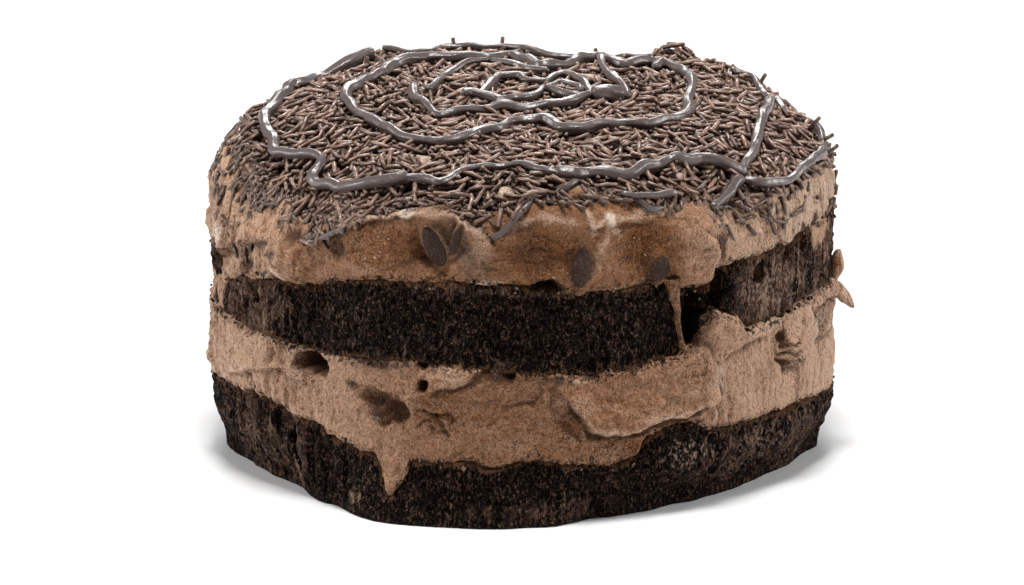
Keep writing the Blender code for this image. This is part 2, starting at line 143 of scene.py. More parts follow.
UPPER_RELIEF = (
    (-139, 69, 11, 7.5, 3.0, 0.55),
    (-154.5, 63.3, 4.2, 3.4, -2.2, 0.2),
    (-127, 77, 5, 3, -2.0, 0.3),
    (-105, 83, 10, 9, -3.4, 0.6),
    (-86, 80, 14, 10, -1.6, 0.4),
    (-74.3, 80, 2.6, 8, 1.1, 0.3),
    (-67, 79, 6, 9, -1.4, 0.4),
    (-55.5, 77, 9.0, 13, 3.4, 0.62),
    (-87, 69.2, 8.4, 2.3, -6.0, 0.55),
    (-171, 60, 6.6, 5.6, -6.0, 0.5),
    (-17.5, 66.5, 7.5, 6, 2.4, 0.5),
    (-33, 65.4, 4, 2.6, -3.0, 0.4),
    (-26, 68, 3, 2.4, -3.0, 0.4),
    (-23, 69.4, 3, 2.2, -3.0, 0.4),
)
LOWER_RELIEF = (
    (-48.5, 51.5, 9, 7.5, 3.6, 0.55),
    (-56, 41, 11, 9, 1.6, 0.4),
    (-134, 40.3, 7.6, 3.6, -9.0, 0.6),
    (-136, 35.5, 9, 3, 1.6, 0.3),
    (-108.3, 46.9, 2.0, 1.4, -4.0, 0.5),
    (-108.1, 40.8, 2.0, 1.7, -4.5, 0.5),
    (-113, 31.5, 4.6, 4.6, -4.4, 0.4),
    (-118, 35.5, 6.5, 3.2, -3.6, 0.4),
    (-115.5, 28.5, 2.5, 2.6, -2.6, 0.4),
    (-122.5, 37.2, 3.0, 1.6, -2.0, 0.4),
    (-110, 35, 3, 5, 1.2, 0.3),
    (-81, 34, 9, 8, 1.0, 0.4),
    (-72, 20.5, 9, 5.0, -0.8, 0.3),
    (-91.7, 44.8, 1.8, 2.4, -3.0, 0.4),
    (-77, 44.6, 2.6, 2.6, -3.0, 0.3),
    (-27.8, 38.0, 5.6, 5.4, 2.2, 0.55),
    (-30.6, 43.6, 2.6, 2.8, -2.2, 0.4),
    (-11, 42, 9, 6, -2.2, 0.3),
    (-6, 50, 7, 5, 1.6, 0.4),
    (-114.3, 12, 3, 8, 1.0, 0.4),
    (-170, 33, 8, 8, 1.4, 0.4),
)
SPONGE_RELIEF = (
    (-54.6, 55.5, 6.6, 10, -12.0, 0.7),
    (-48.4, 63.2, 3.9, 6.6, -10.0, 0.6),
    (-37.5, 64.5, 3.2, 3.4, -3.4, 0.4),
    (-28, 67.5, 3.6, 3.4, -3.4, 0.4),
    (-22.5, 69, 2.4, 4.0, -2.8, 0.4),
    (-77, 46, 2.2, 3, -2.0, 0.3),
    (-148, 20, 1.6, 7, -3.2, 0.3),
    (-151.5, 20, 1.4, 7, -2.8, 0.3),
    (-158, 20, 1.6, 7, -3.0, 0.3),
    (-164, 19, 2.2, 8, -3.2, 0.3),
    (-144.5, 18, 1.6, 8, -3.2, 0.3),
    (-140, 17, 1.6, 8, -3.0, 0.3),
    (-135, 14, 1.4, 8, -2.6, 0.3),
    (-131, 12, 2.0, 9, -2.4, 0.3),
    (-125, 10, 1.4, 9, -2.4, 0.3),
    (-157, 56, 1.4, 4, -2.4, 0.3),
    (-152, 56, 1.6, 5, -2.8, 0.3),
    (-147.5, 54, 1.6, 6, -3.2, 0.3),
    (-139, 54, 1.6, 7, -2.6, 0.3),
    (-134, 55, 1.4, 6, -2.2, 0.3),
    (-56, 14, 14, 9, 1.2, 0.3),
)

# Folds, where one smear ends over another: depth, sharpness and fade in mm, then the edge's
# path by angle and height, with the proud side on its left

UPPER_FOLDS = (
    (1.7, 0.6, 7, ((-166, 62), (-160, 66.5), (-155, 69.3), (-150, 71), (-146, 71.5), (-142, 68.5))),
    (1.6, 0.5, 5, ((-129, 80.5), (-125, 83.3), (-120, 86.3), (-115, 88.2), (-110, 89.3))),
    (2.0, 0.5, 4, ((-95.6, 83.5), (-98, 88), (-102, 90.8), (-107, 91.2), (-111, 90))),
    (1.4, 0.5, 4, ((-77, 86), (-73, 87.2), (-69, 86.2), (-65, 87))),
    (1.6, 0.5, 4, ((-51.2, 66), (-50.6, 72), (-51.4, 77), (-53.5, 81))),
)
LOWER_FOLDS = (
    (2.4, 0.5, 9, (
        (-80.5, 34), (-79, 31), (-77.7, 28.6), (-76.2, 26.4), (-72.6, 25), (-68.8, 25.3),
        (-64.5, 27), (-60.4, 27.9), (-53, 29.8),
    )),
    (0.6, 0.6, 4, ((-80, 25.4), (-83.5, 30.4), (-84.6, 34), (-85, 37))),
    (1.5, 0.9, 6, ((-50, 26), (-50, 35), (-50.4, 42), (-52.6, 47), (-56, 49.5))),
    (1.4, 0.5, 6, ((-105.3, 39.5), (-100, 42.8), (-96, 45.9))),
    (1.2, 0.5, 5, ((-160, 30), (-152, 33), (-145, 36), (-139, 35.5))),
    (0.8, 0.6, 5, ((-46.5, 43), (-43.7, 44.4), (-40, 45.3), (-36.3, 45.6), (-31, 48))),
    (1.2, 0.5, 4, ((-20, 35), (-17, 40), (-17.5, 45), (-21, 49))),
    (1.0, 0.5, 4, ((-12, 33), (-9, 38), (-9.5, 44), (-13, 48))),
    (1.0, 0.5, 5, ((-172, 22), (-171, 28), (-172, 34), (-170, 42))),
)

# Grooves: depth and width in mm, then their path

GROOVES = (
    (-1.7, 0.7, ((-32.6, 44.5), (-33, 41), (-32, 37), (-29.4, 34.2), (-25.6, 33.2), (-23, 34))),
    (-1.6, 0.55, ((-31, 40.7), (-28, 40.0), (-24, 40.9))),
    (-1.6, 0.55, ((-31.3, 38.4), (-28, 37.8), (-23.6, 38.6))),
    (-1.4, 0.5, ((-31, 36.3), (-28, 35.8), (-24.2, 36.6))),
    (-2.4, 0.8, ((-103.3, 79.2), (-102.3, 82), (-101, 86), (-100.3, 88))),
    (-1.4, 0.6, ((-106, 32), (-104.5, 29), (-103.5, 25.5))),
    (-1.4, 0.6, ((-108, 33), (-106, 31.5), (-104, 33), (-102.5, 31))),
    (-1.2, 0.5, ((-109, 29), (-107, 30), (-106.5, 27.5))),
    (-0.8, 0.6, ((-93, 35), (-88, 37), (-86, 40))),
    (-0.7, 0.8, ((-47, 33), (-46, 28), (-46.5, 23))),
    (-1.4, 0.7, ((-18, 45), (-12, 46), (-5, 45))),
    (-1.4, 0.7, ((-18, 38), (-12, 36.5), (-6, 36))),
    (-1.2, 0.6, ((-178, 40), (-176, 33), (-177, 26))),
)

# Colour patches of each channel: angle, height, half width and half height in mm, and strength.
# Many brown patches are painted shade in the hollows of the relief tables, and the pale spot at
# -168 degrees in UPPER_PAINT is a painted highlight; the rest is the cream's and the sponge's own colour.

# The brown channel carries painted shade as well as browner cream, and the pale channel carries painted
# highlight as well as paler cream.
PALE_AND_HIGHLIGHT, BROWN_AND_SHADE, RICH, GREY = range(4)
UPPER_PAINT = {
    # The pale patch at -168 degrees is a painted highlight; the others are paler cream.
    PALE_AND_HIGHLIGHT: (
        (-168, 66, 6, 6, 1.4), (-142, 64.5, 5, 4, 0.8), (-17.5, 68.5, 8, 5, 0.5), (-55, 76, 6, 9, 0.2),
        (-96, 71.5, 6, 0.9, 0.8), (-70, 67.6, 14, 0.9, 0.7), (-97, 81, 4, 5, 0.5),
        (-118, 72.5, 16, 2.2, 0.35),
    ),
    # Painted shade: the patches at -171, -154.5, -126.5, -88, -87 and -22.5 degrees darken hollows of the
    # relief; the others are browner cream.
    BROWN_AND_SHADE: (
        (-22.5, 71.5, 2.4, 3.4, 1.5), (-17, 72, 2.0, 4, 1.2), (-10, 70, 1.6, 5, 1.2),
        (-154.5, 63.3, 5.0, 4.2, 0.6), (-171, 60, 7.4, 6.4, 2.0), (-87, 69.2, 9.4, 3, 1.5),
        (-88, 79, 10, 9, 0.4), (-79, 75.5, 6, 8, 0.9), (-48.6, 75.5, 2.4, 6, 0.9),
        (-126.5, 76.5, 5, 3.4, 0.9), (-64, 72.5, 6, 5, 0.7), (-89.5, 87.2, 5, 2, 0.6),
        (-70, 76, 5, 2, 0.5), (-107, 76.5, 3, 3, 0.8), (-142, 71.2, 2.6, 2.6, 0.7),
    ),
    RICH: (
        (-154.5, 63.3, 6, 5, 1.2), (-117, 79, 18, 11, 1.2), (-66, 79, 12, 12, 1.2),
        (-86, 78, 16, 12, 1.0), (-136, 71, 9, 5, 0.6), (-51, 68.5, 6, 4, 0.8),
    ),
    GREY: (
        (-104, 83, 11, 9, 1.0), (-98, 78, 7, 8, 0.8), (-146, 69, 4, 3, 1.0), (-142.5, 71.5, 3, 3, 1.0),
    ),
}
LOWER_PAINT = {
    PALE_AND_HIGHLIGHT: (
        (-103.5, 44.5, 9, 2.6, 0.7), (-79.3, 42.2, 3.2, 1.0, 0.9), (-80, 35, 9, 5, 0.3),
        (-49, 37.5, 3, 6, 0.6), (-62, 29.0, 9, 1.4, 0.5), (-48, 57.0, 5, 1.2, 0.7),
        (-111, 34, 2.4, 3.4, 0.5), (-92, 24, 12, 5, 0.25), (-73, 19.5, 8, 4, 0.35),
    ),
    # Painted shade: the patches at -134, -115.5, -108.3, -108.1, -91.7, -76.8, -30.6 and -12 degrees darken
    # holes and hollows of the relief; the others are browner cream.
    BROWN_AND_SHADE: (
        (-134, 40.3, 9, 4, 1.4), (-115.5, 33, 8.5, 6.0, 0.8), (-93, 43.4, 7, 2.4, 0.45),
        (-84, 42.2, 7, 2.0, 0.4), (-120, 44.5, 11, 3.4, 0.4), (-76.8, 44.8, 4, 4, 1.0),
        (-12, 42, 9, 6, 0.35), (-30.6, 43.6, 3, 3, 0.9), (-91.7, 44.5, 1.8, 2.6, 1.2),
        (-81, 30, 3.4, 4, 0.3), (-108.3, 46.9, 2.4, 1.6, 1.6), (-108.1, 40.8, 2.4, 2.0, 1.6),
    ),
    RICH: (
        (-115.5, 33, 9, 7, 1.0), (-12, 43, 12, 8, 1.0), (-72, 20, 11, 6, 1.0), (-108, 38, 14, 8, 0.5),
        (-137, 35.5, 10, 4, 0.8), (-80, 29, 7, 6, 0.6), (-90, 32, 42, 18, 0.45), (-57, 49, 4, 4, 0.8),
        (-26, 36, 8, 3.5, 0.8), (-55, 42, 9, 6, 0.4),
    ),
}
MIDDLE_PAINT = {
    PALE_AND_HIGHLIGHT: (
        (-170, 54, 9, 14, 1.1), (-177, 50, 6, 8, 0.9), (-54.6, 64.6, 4.8, 3.4, 1.3),
        (-164.5, 48.5, 2.6, 5.4, -2.5), (-171, 57, 6.0, 5, -2.5), (-14, 69, 10, 7, 1.1),
    ),
    # Painted shade: these patches darken the pocket and the hollows cut by SPONGE_RELIEF.
    BROWN_AND_SHADE: (
        (-54.6, 63.5, 7, 5, 0.9), (-48.4, 63, 4.4, 7, 1.2), (-37.5, 64.5, 3.4, 3.6, 1.4),
        (-28, 67.5, 3.8, 3.4, 1.4), (-22.5, 69, 2.6, 4, 1.2),
    ),
    RICH: (
        (-32, 59, 24, 16, 2.6), (-153, 53, 26, 14, 1.7), (-100, 47, 40, 3, 0.4),
        (-85, 69, 50, 2.4, 0.6), (-8, 58, 20, 16, 1.8),
    ),
    GREY: (
        (-34, 60, 17, 7, 0.8),
    ),
}
BOTTOM_PAINT = {
    PALE_AND_HIGHLIGHT: (
        (-142, 6, 10, 5, 0.3), (-122, 5, 8, 3, 0.3),
    ),
    BROWN_AND_SHADE: (
        (-160, 14, 20, 14, 0.15),
    ),
    RICH: (
        (-152, 12, 34, 20, 1.15), (-45, 14, 22, 14, 0.8), (-20, 10, 25, 14, 0.9), (-85, 4, 30, 4, 0.5),
    ),
    GREY: (
        (-56, 16.5, 13, 5, 1.2), (-35, 14, 20, 9, 0.5),
    ),
}

# Streaks of colour along a path: channel, strength, width in mm, and the path. Pale streaks
# along lips and ridges are painted highlight, brown streaks along grooves and under folds are
# painted shade, and the rest are streaks in the cream.

UPPER_STREAKS = (
    (PALE_AND_HIGHLIGHT, 1.3, 1.3, ((-112, 90.6), (-107, 92), (-102, 91.3), (-98.5, 88.6), (-95.6, 84.8))),
    (PALE_AND_HIGHLIGHT, 0.9, 1.2, ((-126, 82.8), (-120, 87), (-114, 89.7), (-110, 90.5))),
    (PALE_AND_HIGHLIGHT, 1.0, 1.2, ((-76.3, 74), (-75.4, 78), (-73.8, 83), (-73, 88))),
    (PALE_AND_HIGHLIGHT, 1.35, 0.9, ((-93, 87), (-88, 89.6), (-84, 89.8), (-80, 88))),
    (PALE_AND_HIGHLIGHT, 1.2, 0.9, ((-76, 87.5), (-73, 89.4), (-69, 88.2), (-66, 89.5), (-60, 88.5))),
    (PALE_AND_HIGHLIGHT, 1.4, 0.8, ((-77.5, 90), (-77, 86.5), (-76.5, 84))),
    (PALE_AND_HIGHLIGHT, 1.4, 0.8, ((-73, 90), (-72, 86), (-71.4, 84))),
    (BROWN_AND_SHADE, 1.0, 0.7, ((-100.3, 88), (-101.5, 84), (-103, 79.5))),
    (BROWN_AND_SHADE, 0.9, 0.6, ((-166, 63), (-160, 67.2), (-155, 70), (-150, 71.6), (-146, 71.8))),
    (PALE_AND_HIGHLIGHT, 0.9, 1.3, ((-147.5, 71), (-145, 68), (-142, 64.5), (-139.5, 62))),
    (BROWN_AND_SHADE, 0.9, 1.2, ((-141, 75.5), (-135, 77.3), (-130, 79), (-125, 82))),
    (BROWN_AND_SHADE, 0.8, 0.8, ((-51, 79), (-49.5, 75.5), (-48, 73))),
    (PALE_AND_HIGHLIGHT, 0.8, 0.7, ((-98, 70.3), (-95, 71.9), (-92, 71.0))),
    (BROWN_AND_SHADE, 0.6, 1.0, ((-112, 76), (-108, 77.5), (-105, 79))),
)
# Here the brown streaks from -105.3, -84.5, -77 and -46.5 degrees are painted shade under folds, and the
# pale ones from -78.5 and -49.4 degrees are painted highlight.
LOWER_STREAKS = (
    (BROWN_AND_SHADE, 0.45, 0.8, ((-105.3, 38.5), (-100, 41.8), (-96, 44.5), (-92, 43))),
    (BROWN_AND_SHADE, 0.6, 0.8, ((-77, 26), (-72.6, 24.2), (-68.8, 24.3), (-64.5, 25.8), (-60.4, 26.8), (-54, 28.6))),
    (RICH, 0.6, 2.0, ((-77, 24), (-72.6, 21.6), (-68.8, 21.6), (-66, 22.6))),
    (BROWN_AND_SHADE, 0.25, 0.9, ((-84.5, 37), (-84.5, 34), (-83.2, 30.4), (-80, 25.8))),
    (PALE_AND_HIGHLIGHT, 0.3, 1.0, ((-49.4, 46), (-48.8, 41), (-48.6, 34))),
    (BROWN_AND_SHADE, 0.3, 0.7, ((-46.5, 42.4), (-43.7, 43.8), (-40, 44.6), (-36.3, 45))),
    (BROWN_AND_SHADE, 0.7, 0.8, ((-122, 46), (-116, 45), (-111, 45.5))),
    (PALE_AND_HIGHLIGHT, 0.7, 0.9, ((-78.5, 27), (-75, 26), (-71, 26.2))),
    (RICH, 0.8, 1.0, ((-60.5, 46.5), (-58, 49), (-55, 49.5))),
)

# Cream that hangs down at the right of the middle sponge, by angle, height, and width in mm

PILLAR = (
    (-60.2, 69, 5.0), (-60.0, 66.4, 4.0), (-59.6, 63, 3.0), (-59.2, 60, 2.0), (-59.0, 57, 1.3),
    (-58.8, 54, 1.1), (-58.2, 51, 1.2), (-57.6, 48.6, 1.8), (-57.2, 47, 2.4),
)

# How pale the ice cream is round the cake

UPPER_PALENESS = (
    (-180, 0.9), (-160, 0.8), (-148, 0.65), (-135, 0.35), (-125, 0.1), (-112, 0.0), (-62, 0.0),
    (-58, 0.35), (-50, 0.5), (-42, 1.15), (-20, 1.35), (0, 1.3), (90, 0.8),
)
LOWER_PALENESS = (
    (-180, 1.15), (-155, 1.05), (-145, 0.85), (-130, 0.7), (-118, 0.5), (-105, 0.2), (-70, 0.16),
    (-60, 0.3), (-50, 0.6), (-35, 0.95), (-15, 1.1), (0, 1.1), (90, 0.8),
)

# Places on the top, in mm, where the ice cream shows between the sprinkles: middle and radius

BARE_PATCHES = (
    (-28, -56, 3.4), (-33, -53, 2.2), (-9, 19, 3.6), (-16, 11, 3.2), (-13, 1, 2.4), (20, 29, 3.6),
    (17, 24, 2.6), (70, -36, 4.2), (22, -80, 5.0), (14, -77, 3.6), (-4, -79, 3.0), (44, -58, 2.6),
    (-50, 22, 2.6), (40, -10, 2.2), (-38, -12, 2.2), (62, -60, 4.0), (52, -70, 4.0),
)

# Sprinkles on the slope of the shoulder: first and last angle, where they start and end in mm
# down from its brink, their number, and how high they heap in mm

STRAY_ZONES = (
    (-196, -152, -27, 0, 110, 0.1),
    (-176, -152, -27, -17, 60, 0.3),
    (-153, -143, -26, -16, 40, 0.4),
    (-145, -133, -25, -9, 84, 0.9),
    (-135, -120, -20, -5, 160, 1.1),
    (-120, -110, -14, -7, 50, 0.9),
    (-112, -58, -12, -6.5, 130, 0.9),
    (-60, -46, -12, -6, 24, 0.6),
    (-46, 4, -20, -10, 150, 0.9),
    (-53, -14, -9, 0, 34, 0.0),
    (2, 150, -18, -3, 390, 0.9),
    (148, 166, -22, -2, 44, 0.2),
    (-12, 164, -2, 4, 60, 0.1),
)

# Sprinkles that stand up at the far edge: place in mm and lean in degrees

STANDING = (
    (-47, 46, 20), (-18.5, 63, -8), (-6, 64, 5), (23.5, 62, -15), (66, 32, 30), (80, 6, 40),
    (82, 0, 60), (84, -8, 50), (-40, 52, 50),
)

CRUMBS = 420

# Lumps of ice cream that stick out at the right: middle and half sizes in mm, and lean in degrees

SIDE_LUMPS = (
    ((90.0, -8, 54.9), (2.0, 3.4, 4.4), 6),
    ((91.2, -8, 46.8), (2.0, 3.4, 5.8), -38),
    ((88.0, -9, 49.8), (2.6, 5.0, 4.2), -20),
)

# Drizzle: strand diameter, then the points it passes, in mm from the middle

DRIZZLE = (
    (3.2, (
        (-42.5, 55.5), (-46.5, 52.5), (-51, 49.5), (-56, 47), (-59, 45.5), (-62, 38), (-66.5, 34.5),
        (-69, 19.5), (-71, 7), (-73, 0.5), (-73, -7.5), (-72, -12.5), (-70.5, -17.5), (-70, -25),
        (-67, -29), (-63.5, -32.5), (-60, -36), (-56.5, -43), (-59, -47.5), (-57.5, -51.5),
        (-54.5, -55), (-50.5, -59.5), (-48.5, -63), (-44.5, -67), (-37, -70.5), (-32, -70),
    )),
    (2.0, (
        (-34, -70.4), (-27, -72.5), (-23, -77), (-18.5, -71.5), (-15, -69), (-8, -67), (-2, -67),
        (2, -68), (7.5, -72.5), (12, -73.4),
    )),
    (3.3, (
        (9.5, -73), (15, -73.5), (19, -70.5), (26.5, -70), (31, -68.5), (34, -64), (37, -61),
        (41, -58), (45.5, -55), (49, -50.5), (52.5, -48.5), (58.5, -47), (64, -45),
    )),
    (2.9, (
        (38.5, 37), (41, 43.5), (45.5, 34), (48, 25.5), (49, 15), (48.5, 5.5), (47.5, -3), (48, -13.5),
        (45.5, -19.5), (42.5, -23.5), (38.5, -28), (34, -31.5), (29.5, -32), (25, -34.5), (21, -35.5),
        (16.5, -37.5), (12, -36.5), (9.5, -32.5), (6.5, -28.5), (2, -28.5), (-2.5, -30), (-4.5, -33.5),
        (-6.5, -39.5), (-12.5, -43), (-15, -46.5), (-18.5, -49), (-22.5, -48.5), (-26, -46.5),
        (-30, -45), (-33.5, -40.5), (-36.5, -35), (-39.5, -29), (-42.5, -22.5), (-46, -15.5),
        (-48.5, -6), (-50, 0.5), (-49.5, 6.5), (-47, 11), (-44.5, 19), (-40.5, 26.5), (-37.5, 34.5),
        (-34.5, 39), (-30, 43), (-26, 45), (-17.5, 45), (-13, 43.5), (-9, 42.5), (-3, 45.5), (0, 40),
        (3, 35), (6, 28.5), (12, 32.5), (15, 41), (17.5, 47), (21.5, 52), (25, 46), (29.5, 39.5),
        (34.5, 43), (38.5, 47.5),
    )),
    (2.9, (
        (-30.5, 9), (-30.5, -2.5), (-28, -9.5), (-25.5, -16), (-22.5, -20.5), (-13.5, -16.5),
        (-7, -14), (-2.5, -14), (2, -14), (8.5, -12.5), (12, -10.5), (15, -7.5), (19.5, -0.5),
        (22.5, -2.5),
    )),
    (2.5, (
        (-17, -1), (-13.5, 0.5), (-7, -2), (-4, -4.5), (0, -5), (5, 2), (7, 7.5), (12.5, -0.5),
        (17.5, -2),
    )),
    (2.2, (
        (-15.5, -1), (-12.5, 3), (-10.5, 8.5), (-8, 16), (-6, 22), (-0.5, 22), (1.5, 17), (6.5, 16),
        (9, 21), (12.5, 24), (17, 17), (18.5, 12), (19.5, 5.5), (21.5, 0),
    )),
    (2.2, (
        (-27, 2.5), (-25, 8), (-23, 15), (-22.5, 22.5), (-20.5, 28), (-17.5, 32.5), (-15, 36),
        (-9, 40.5),
    )),
    (1.8, (
        (-9, 40.5), (-5.5, 37.5), (-0.5, 33.5), (2, 28.5), (8, 24),
    )),
    (2.0, (
        (-40, 57), (-34, 59.5), (-27.5, 61.5), (-22.5, 63), (-16, 63), (-10, 61.5), (-3, 61.5),
        (3, 60), (9, 57), (15, 56), (20, 57), (27, 56), (33, 54), (38, 54),
    )),
    (2.4, (
        (23, 48.5), (23.5, 35.5), (25.5, 24.5), (28.5, 15), (30, 6.5), (30.5, 1.5),
    )),
    (4.4, (
        (20.5, -3), (26, -0.5), (29, 1.5),
    )),
    (2.0, (
        (61, 40.5), (66.5, 38), (69, 25), (71, 20.5), (73.5, 16), (75, 9),
    )),
    (2.8, (
        (71, 17), (70.5, 1), (69, -7.5), (68.5, -14), (67.5, -21.5), (67, -28.5), (66, -35.5),
        (64.5, -40), (63, -43.5), (62.5, -46.5),
    )),
    (2.6, (
        (62.5, -46.5), (67.5, -47), (70.5, -45), (74.5, -41.5), (76.5, -37.5), (79.5, -31.5),
        (82, -25.5), (83, -21.5), (85.5, -13), (86, -9),
    )),
    (2.2, (
        (86, -11), (86, -7), (86, 0.5), (85.5, 11), (82.5, 17), (79, 23),
    )),
    (3.0, (
        (63, -48.5), (60.5, -52.5), (59, -56), (57, -59.5), (55, -62.5), (54, -65),
    )),
    (1.7, (
        (28, -77), (33.5, -76.5), (41, -72.5), (44, -70.5),
    )),
    (2.0, (
        (7, 9), (9, 12), (11.5, 15.5), (16.5, 9.5), (17, 5),
    )),
)

# Thin strands on the slope of the shoulder: diameter, then angle and mm down from its brink

EDGE_STRANDS = (
    (1.9, (
        (-95.5, -2), (-93.5, -2.5), (-91.5, -4.5), (-89, -7), (-86.5, -12), (-84.5, -15.5),
        (-81, -16), (-77, -19.5), (-74.5, -19), (-72, -16), (-69.5, -13.5), (-68, -11.5),
        (-66.5, -7), (-64.5, -4.5), (-61.5, -6),
    )),
    (1.5, ((-85.5, -8.5), (-84, -7.5), (-82, -7.5), (-80.5, -9))),
    (1.7, ((-137, -5.4), (-133.5, -5.5), (-129, -5), (-124.5, -4.2))),
    (1.4, ((-124, -5.9), (-122.5, -8.1), (-119.5, -11.5), (-115.5, -13), (-112, -11.9))),
)


# The stage: the camera's aim in mm, then each light's name, place, size and power, the fill,
# and the floor's half width and its drop under the cake, in metres

AIM = (-2.6, 0.0, 44.6)
LIGHTS = (
    ("overhead", (0.0, -0.22, 1.2), 0.3, 15.0),
    ("left", (-1.1, 0.1, 0.45), 0.5, 9.5),
    ("right", (1.1, 0.1, 0.45), 0.5, 8.5),
    ("behind", (0.0, 1.3, 0.9), 0.55, 13.5),
)
FILL = 0.15
FLOOR_HALF = 4.0
FLOOR_DROP = 0.0002


class CakeShape(bpy.types.PropertyGroup):
    """Sizes of the layers."""

    crown: bpy.props.FloatProperty(
        name="Crown", description="Height of the top's middle under its sprinkles",
        default=0.102, min=0.05, unit="LENGTH",
    )
    dome_power: bpy.props.FloatProperty(
        name="Dome power", description="How flat the top is before it falls to the shoulder",
        default=4.7, min=1.0,
    )
    segments: bpy.props.IntProperty(
        name="Segments", description="Steps of the mesh round the cake", default=880, min=90,
    )
    row: bpy.props.FloatProperty(
        name="Row", description="Height of one row of faces on the side", default=0.0006,
        min=0.0002, unit="LENGTH",
    )


class CakeFinish(bpy.types.PropertyGroup):
    """Colours of what the cake is made of."""

    cream: bpy.props.FloatVectorProperty(
        name="Ice cream", description="Chocolate ice cream", subtype="COLOR",
        default=(0.276, 0.124, 0.055), min=0.0, max=1.0,
    )
    # This colour also serves as painted highlight on lips and ridges.
    pale_cream_and_highlight: bpy.props.FloatVectorProperty(
        name="Pale ice cream", description="Ice cream that has been smeared thin", subtype="COLOR",
        default=(0.490, 0.308, 0.202), min=0.0, max=1.0,
    )
    cream_rich: bpy.props.FloatVectorProperty(
        name="Rich ice cream", description="Cut face of the ice cream, where it is browner", subtype="COLOR",
        default=(0.235, 0.088, 0.024), min=0.0, max=1.0,
    )
    cream_grey: bpy.props.FloatVectorProperty(
        name="Grey ice cream", description="Smears with chocolate in them", subtype="COLOR",
        default=(0.210, 0.132, 0.086), min=0.0, max=1.0,
    )
    # This colour also serves as painted shade in hollows, in grooves and under folds, on the ice cream and
    # on the sponge.
    dark_cream_and_shade: bpy.props.FloatVectorProperty(
        name="Dark ice cream", description="Wet hollows and streaks", subtype="COLOR",
        default=(0.072, 0.026, 0.009), min=0.0, max=1.0,
    )
    sponge: bpy.props.FloatVectorProperty(
        name="Sponge", description="Dark chocolate sponge", subtype="COLOR",
        default=(0.0022, 0.0010, 0.0006), min=0.0, max=1.0,
    )
    # The crumbs' lightness is partly painted highlight on the raised crumbs.
    sponge_crumb: bpy.props.FloatVectorProperty(
        name="Crumb", description="Lighter crumbs of the sponge", subtype="COLOR",
        default=(0.175, 0.100, 0.068), min=0.0, max=1.0,
    )
    sprinkle: bpy.props.FloatVectorProperty(
        name="Sprinkles", description="Chocolate sprinkles", subtype="COLOR",
        default=(0.160, 0.098, 0.074), min=0.0, max=1.0,
    )
    drizzle: bpy.props.FloatVectorProperty(
        name="Drizzle", description="Chocolate drizzle", subtype="COLOR",
        default=(0.074, 0.056, 0.051), min=0.0, max=1.0,
    )
    chip: bpy.props.FloatVectorProperty(
        name="Chips", description="Chocolate chips", subtype="COLOR",
        default=(0.040, 0.022, 0.016), min=0.0, max=1.0,
    )


class CakeTopping(bpy.types.PropertyGroup):
    """How much lies on the top."""

    sprinkles: bpy.props.IntProperty(
        name="Sprinkles", description="How many sprinkles lie in the heap", default=6300, min=0,
    )
    thickness: bpy.props.FloatProperty(
        name="Thickness", description="Diameter of a sprinkle", default=0.00128, unit="LENGTH",
    )
    length: bpy.props.FloatProperty(
        name="Length", description="Mean length of a sprinkle", default=0.0053, unit="LENGTH",
    )


class CakeStage(bpy.types.PropertyGroup):
    """The camera and the lights."""

    elevation: bpy.props.FloatProperty(
        name="Elevation", description="Camera's angle above the floor",
        default=math.radians(15.2), subtype="ANGLE",
    )
    distance: bpy.props.FloatProperty(
        name="Distance", description="Camera's distance from the cake", default=6.0, unit="LENGTH",
    )
    view_width: bpy.props.FloatProperty(
        name="View width", description="Width of the picture at the cake", default=0.2929,
        unit="LENGTH",
    )


# Shape of the cake


def ease(value):
    value = np.clip(value, 0.0, 1.0)
    return value * value * (3.0 - 2.0 * value)


def around(table, angles):
    """The values of a table of (degrees, value) at angles in radians, eased between its rows."""
    start = table[0][0]
    degrees = (np.degrees(angles) - start) % 360.0 + start
    turns = np.array([row[0] for row in table] + [start + 360.0], float)
    values = np.array([row[1] for row in table] + [table[0][1]], float)
    slot = np.clip(np.searchsorted(turns, degrees, side="right") - 1, 0, len(table) - 1)
    share = ease((degrees - turns[slot]) / (turns[slot + 1] - turns[slot]))
    return values[slot] + (values[slot + 1] - values[slot]) * share


def grain(points, size, seed=0.0):
    """Smooth noise from about -1 to 1, with lumps of a size in mm: one number, or three."""
    scaled = points / (np.asarray(size) * MM) + seed
    return np.array([noise.noise(place) for place in scaled.tolist()])


def pores(points, size, seed=0.0):
    """The distance from each point to the nearest of scattered seeds, as a share of size."""
    scaled = points / (np.asarray(size) * MM) + seed
    return np.array([noise.voronoi(place)[0][0] for place in scaled.tolist()])


def unrolled(angle, height):
    """Places on the side as millimetres round it and up it, with their edges made ragged."""
    spot = unit_places(angle, height)
    along = np.degrees(angle) * MEAN_ARC + 1.2 * grain(spot, 7, 3.0) + 0.8 * grain(spot, 2.5, 6.0)
    up = height / MM + 1.2 * grain(spot, 7, 9.0) + 0.8 * grain(spot, 2.5, 12.0)
    return along, up


def arc_gap(along, degrees):
    """Millimetres round the side from an angle to places, the shorter way."""
    whole = 360.0 * MEAN_ARC
    return (along - degrees * MEAN_ARC + whole / 2) % whole - whole / 2


def unit_places(angle, height, radius=0.087):
    return np.stack((radius * np.cos(angle), radius * np.sin(angle), height), axis=-1)


def side_radius(angles, heights):
    wide = around(SIDE_RADIUS, angles) * MM
    foot = around(FOOT_RADIUS, angles) * MM
    return foot + (wide - foot) * ease(heights / FOOT_REACH)


def left_share(angle):
    """1 at the left of the cake, where its side is roughest, and 0 away from there."""
    degrees = np.degrees(angle) % -360.0
    return ease((-118.0 - degrees) / 25.0) * ease((degrees + 215.0) / 20.0)


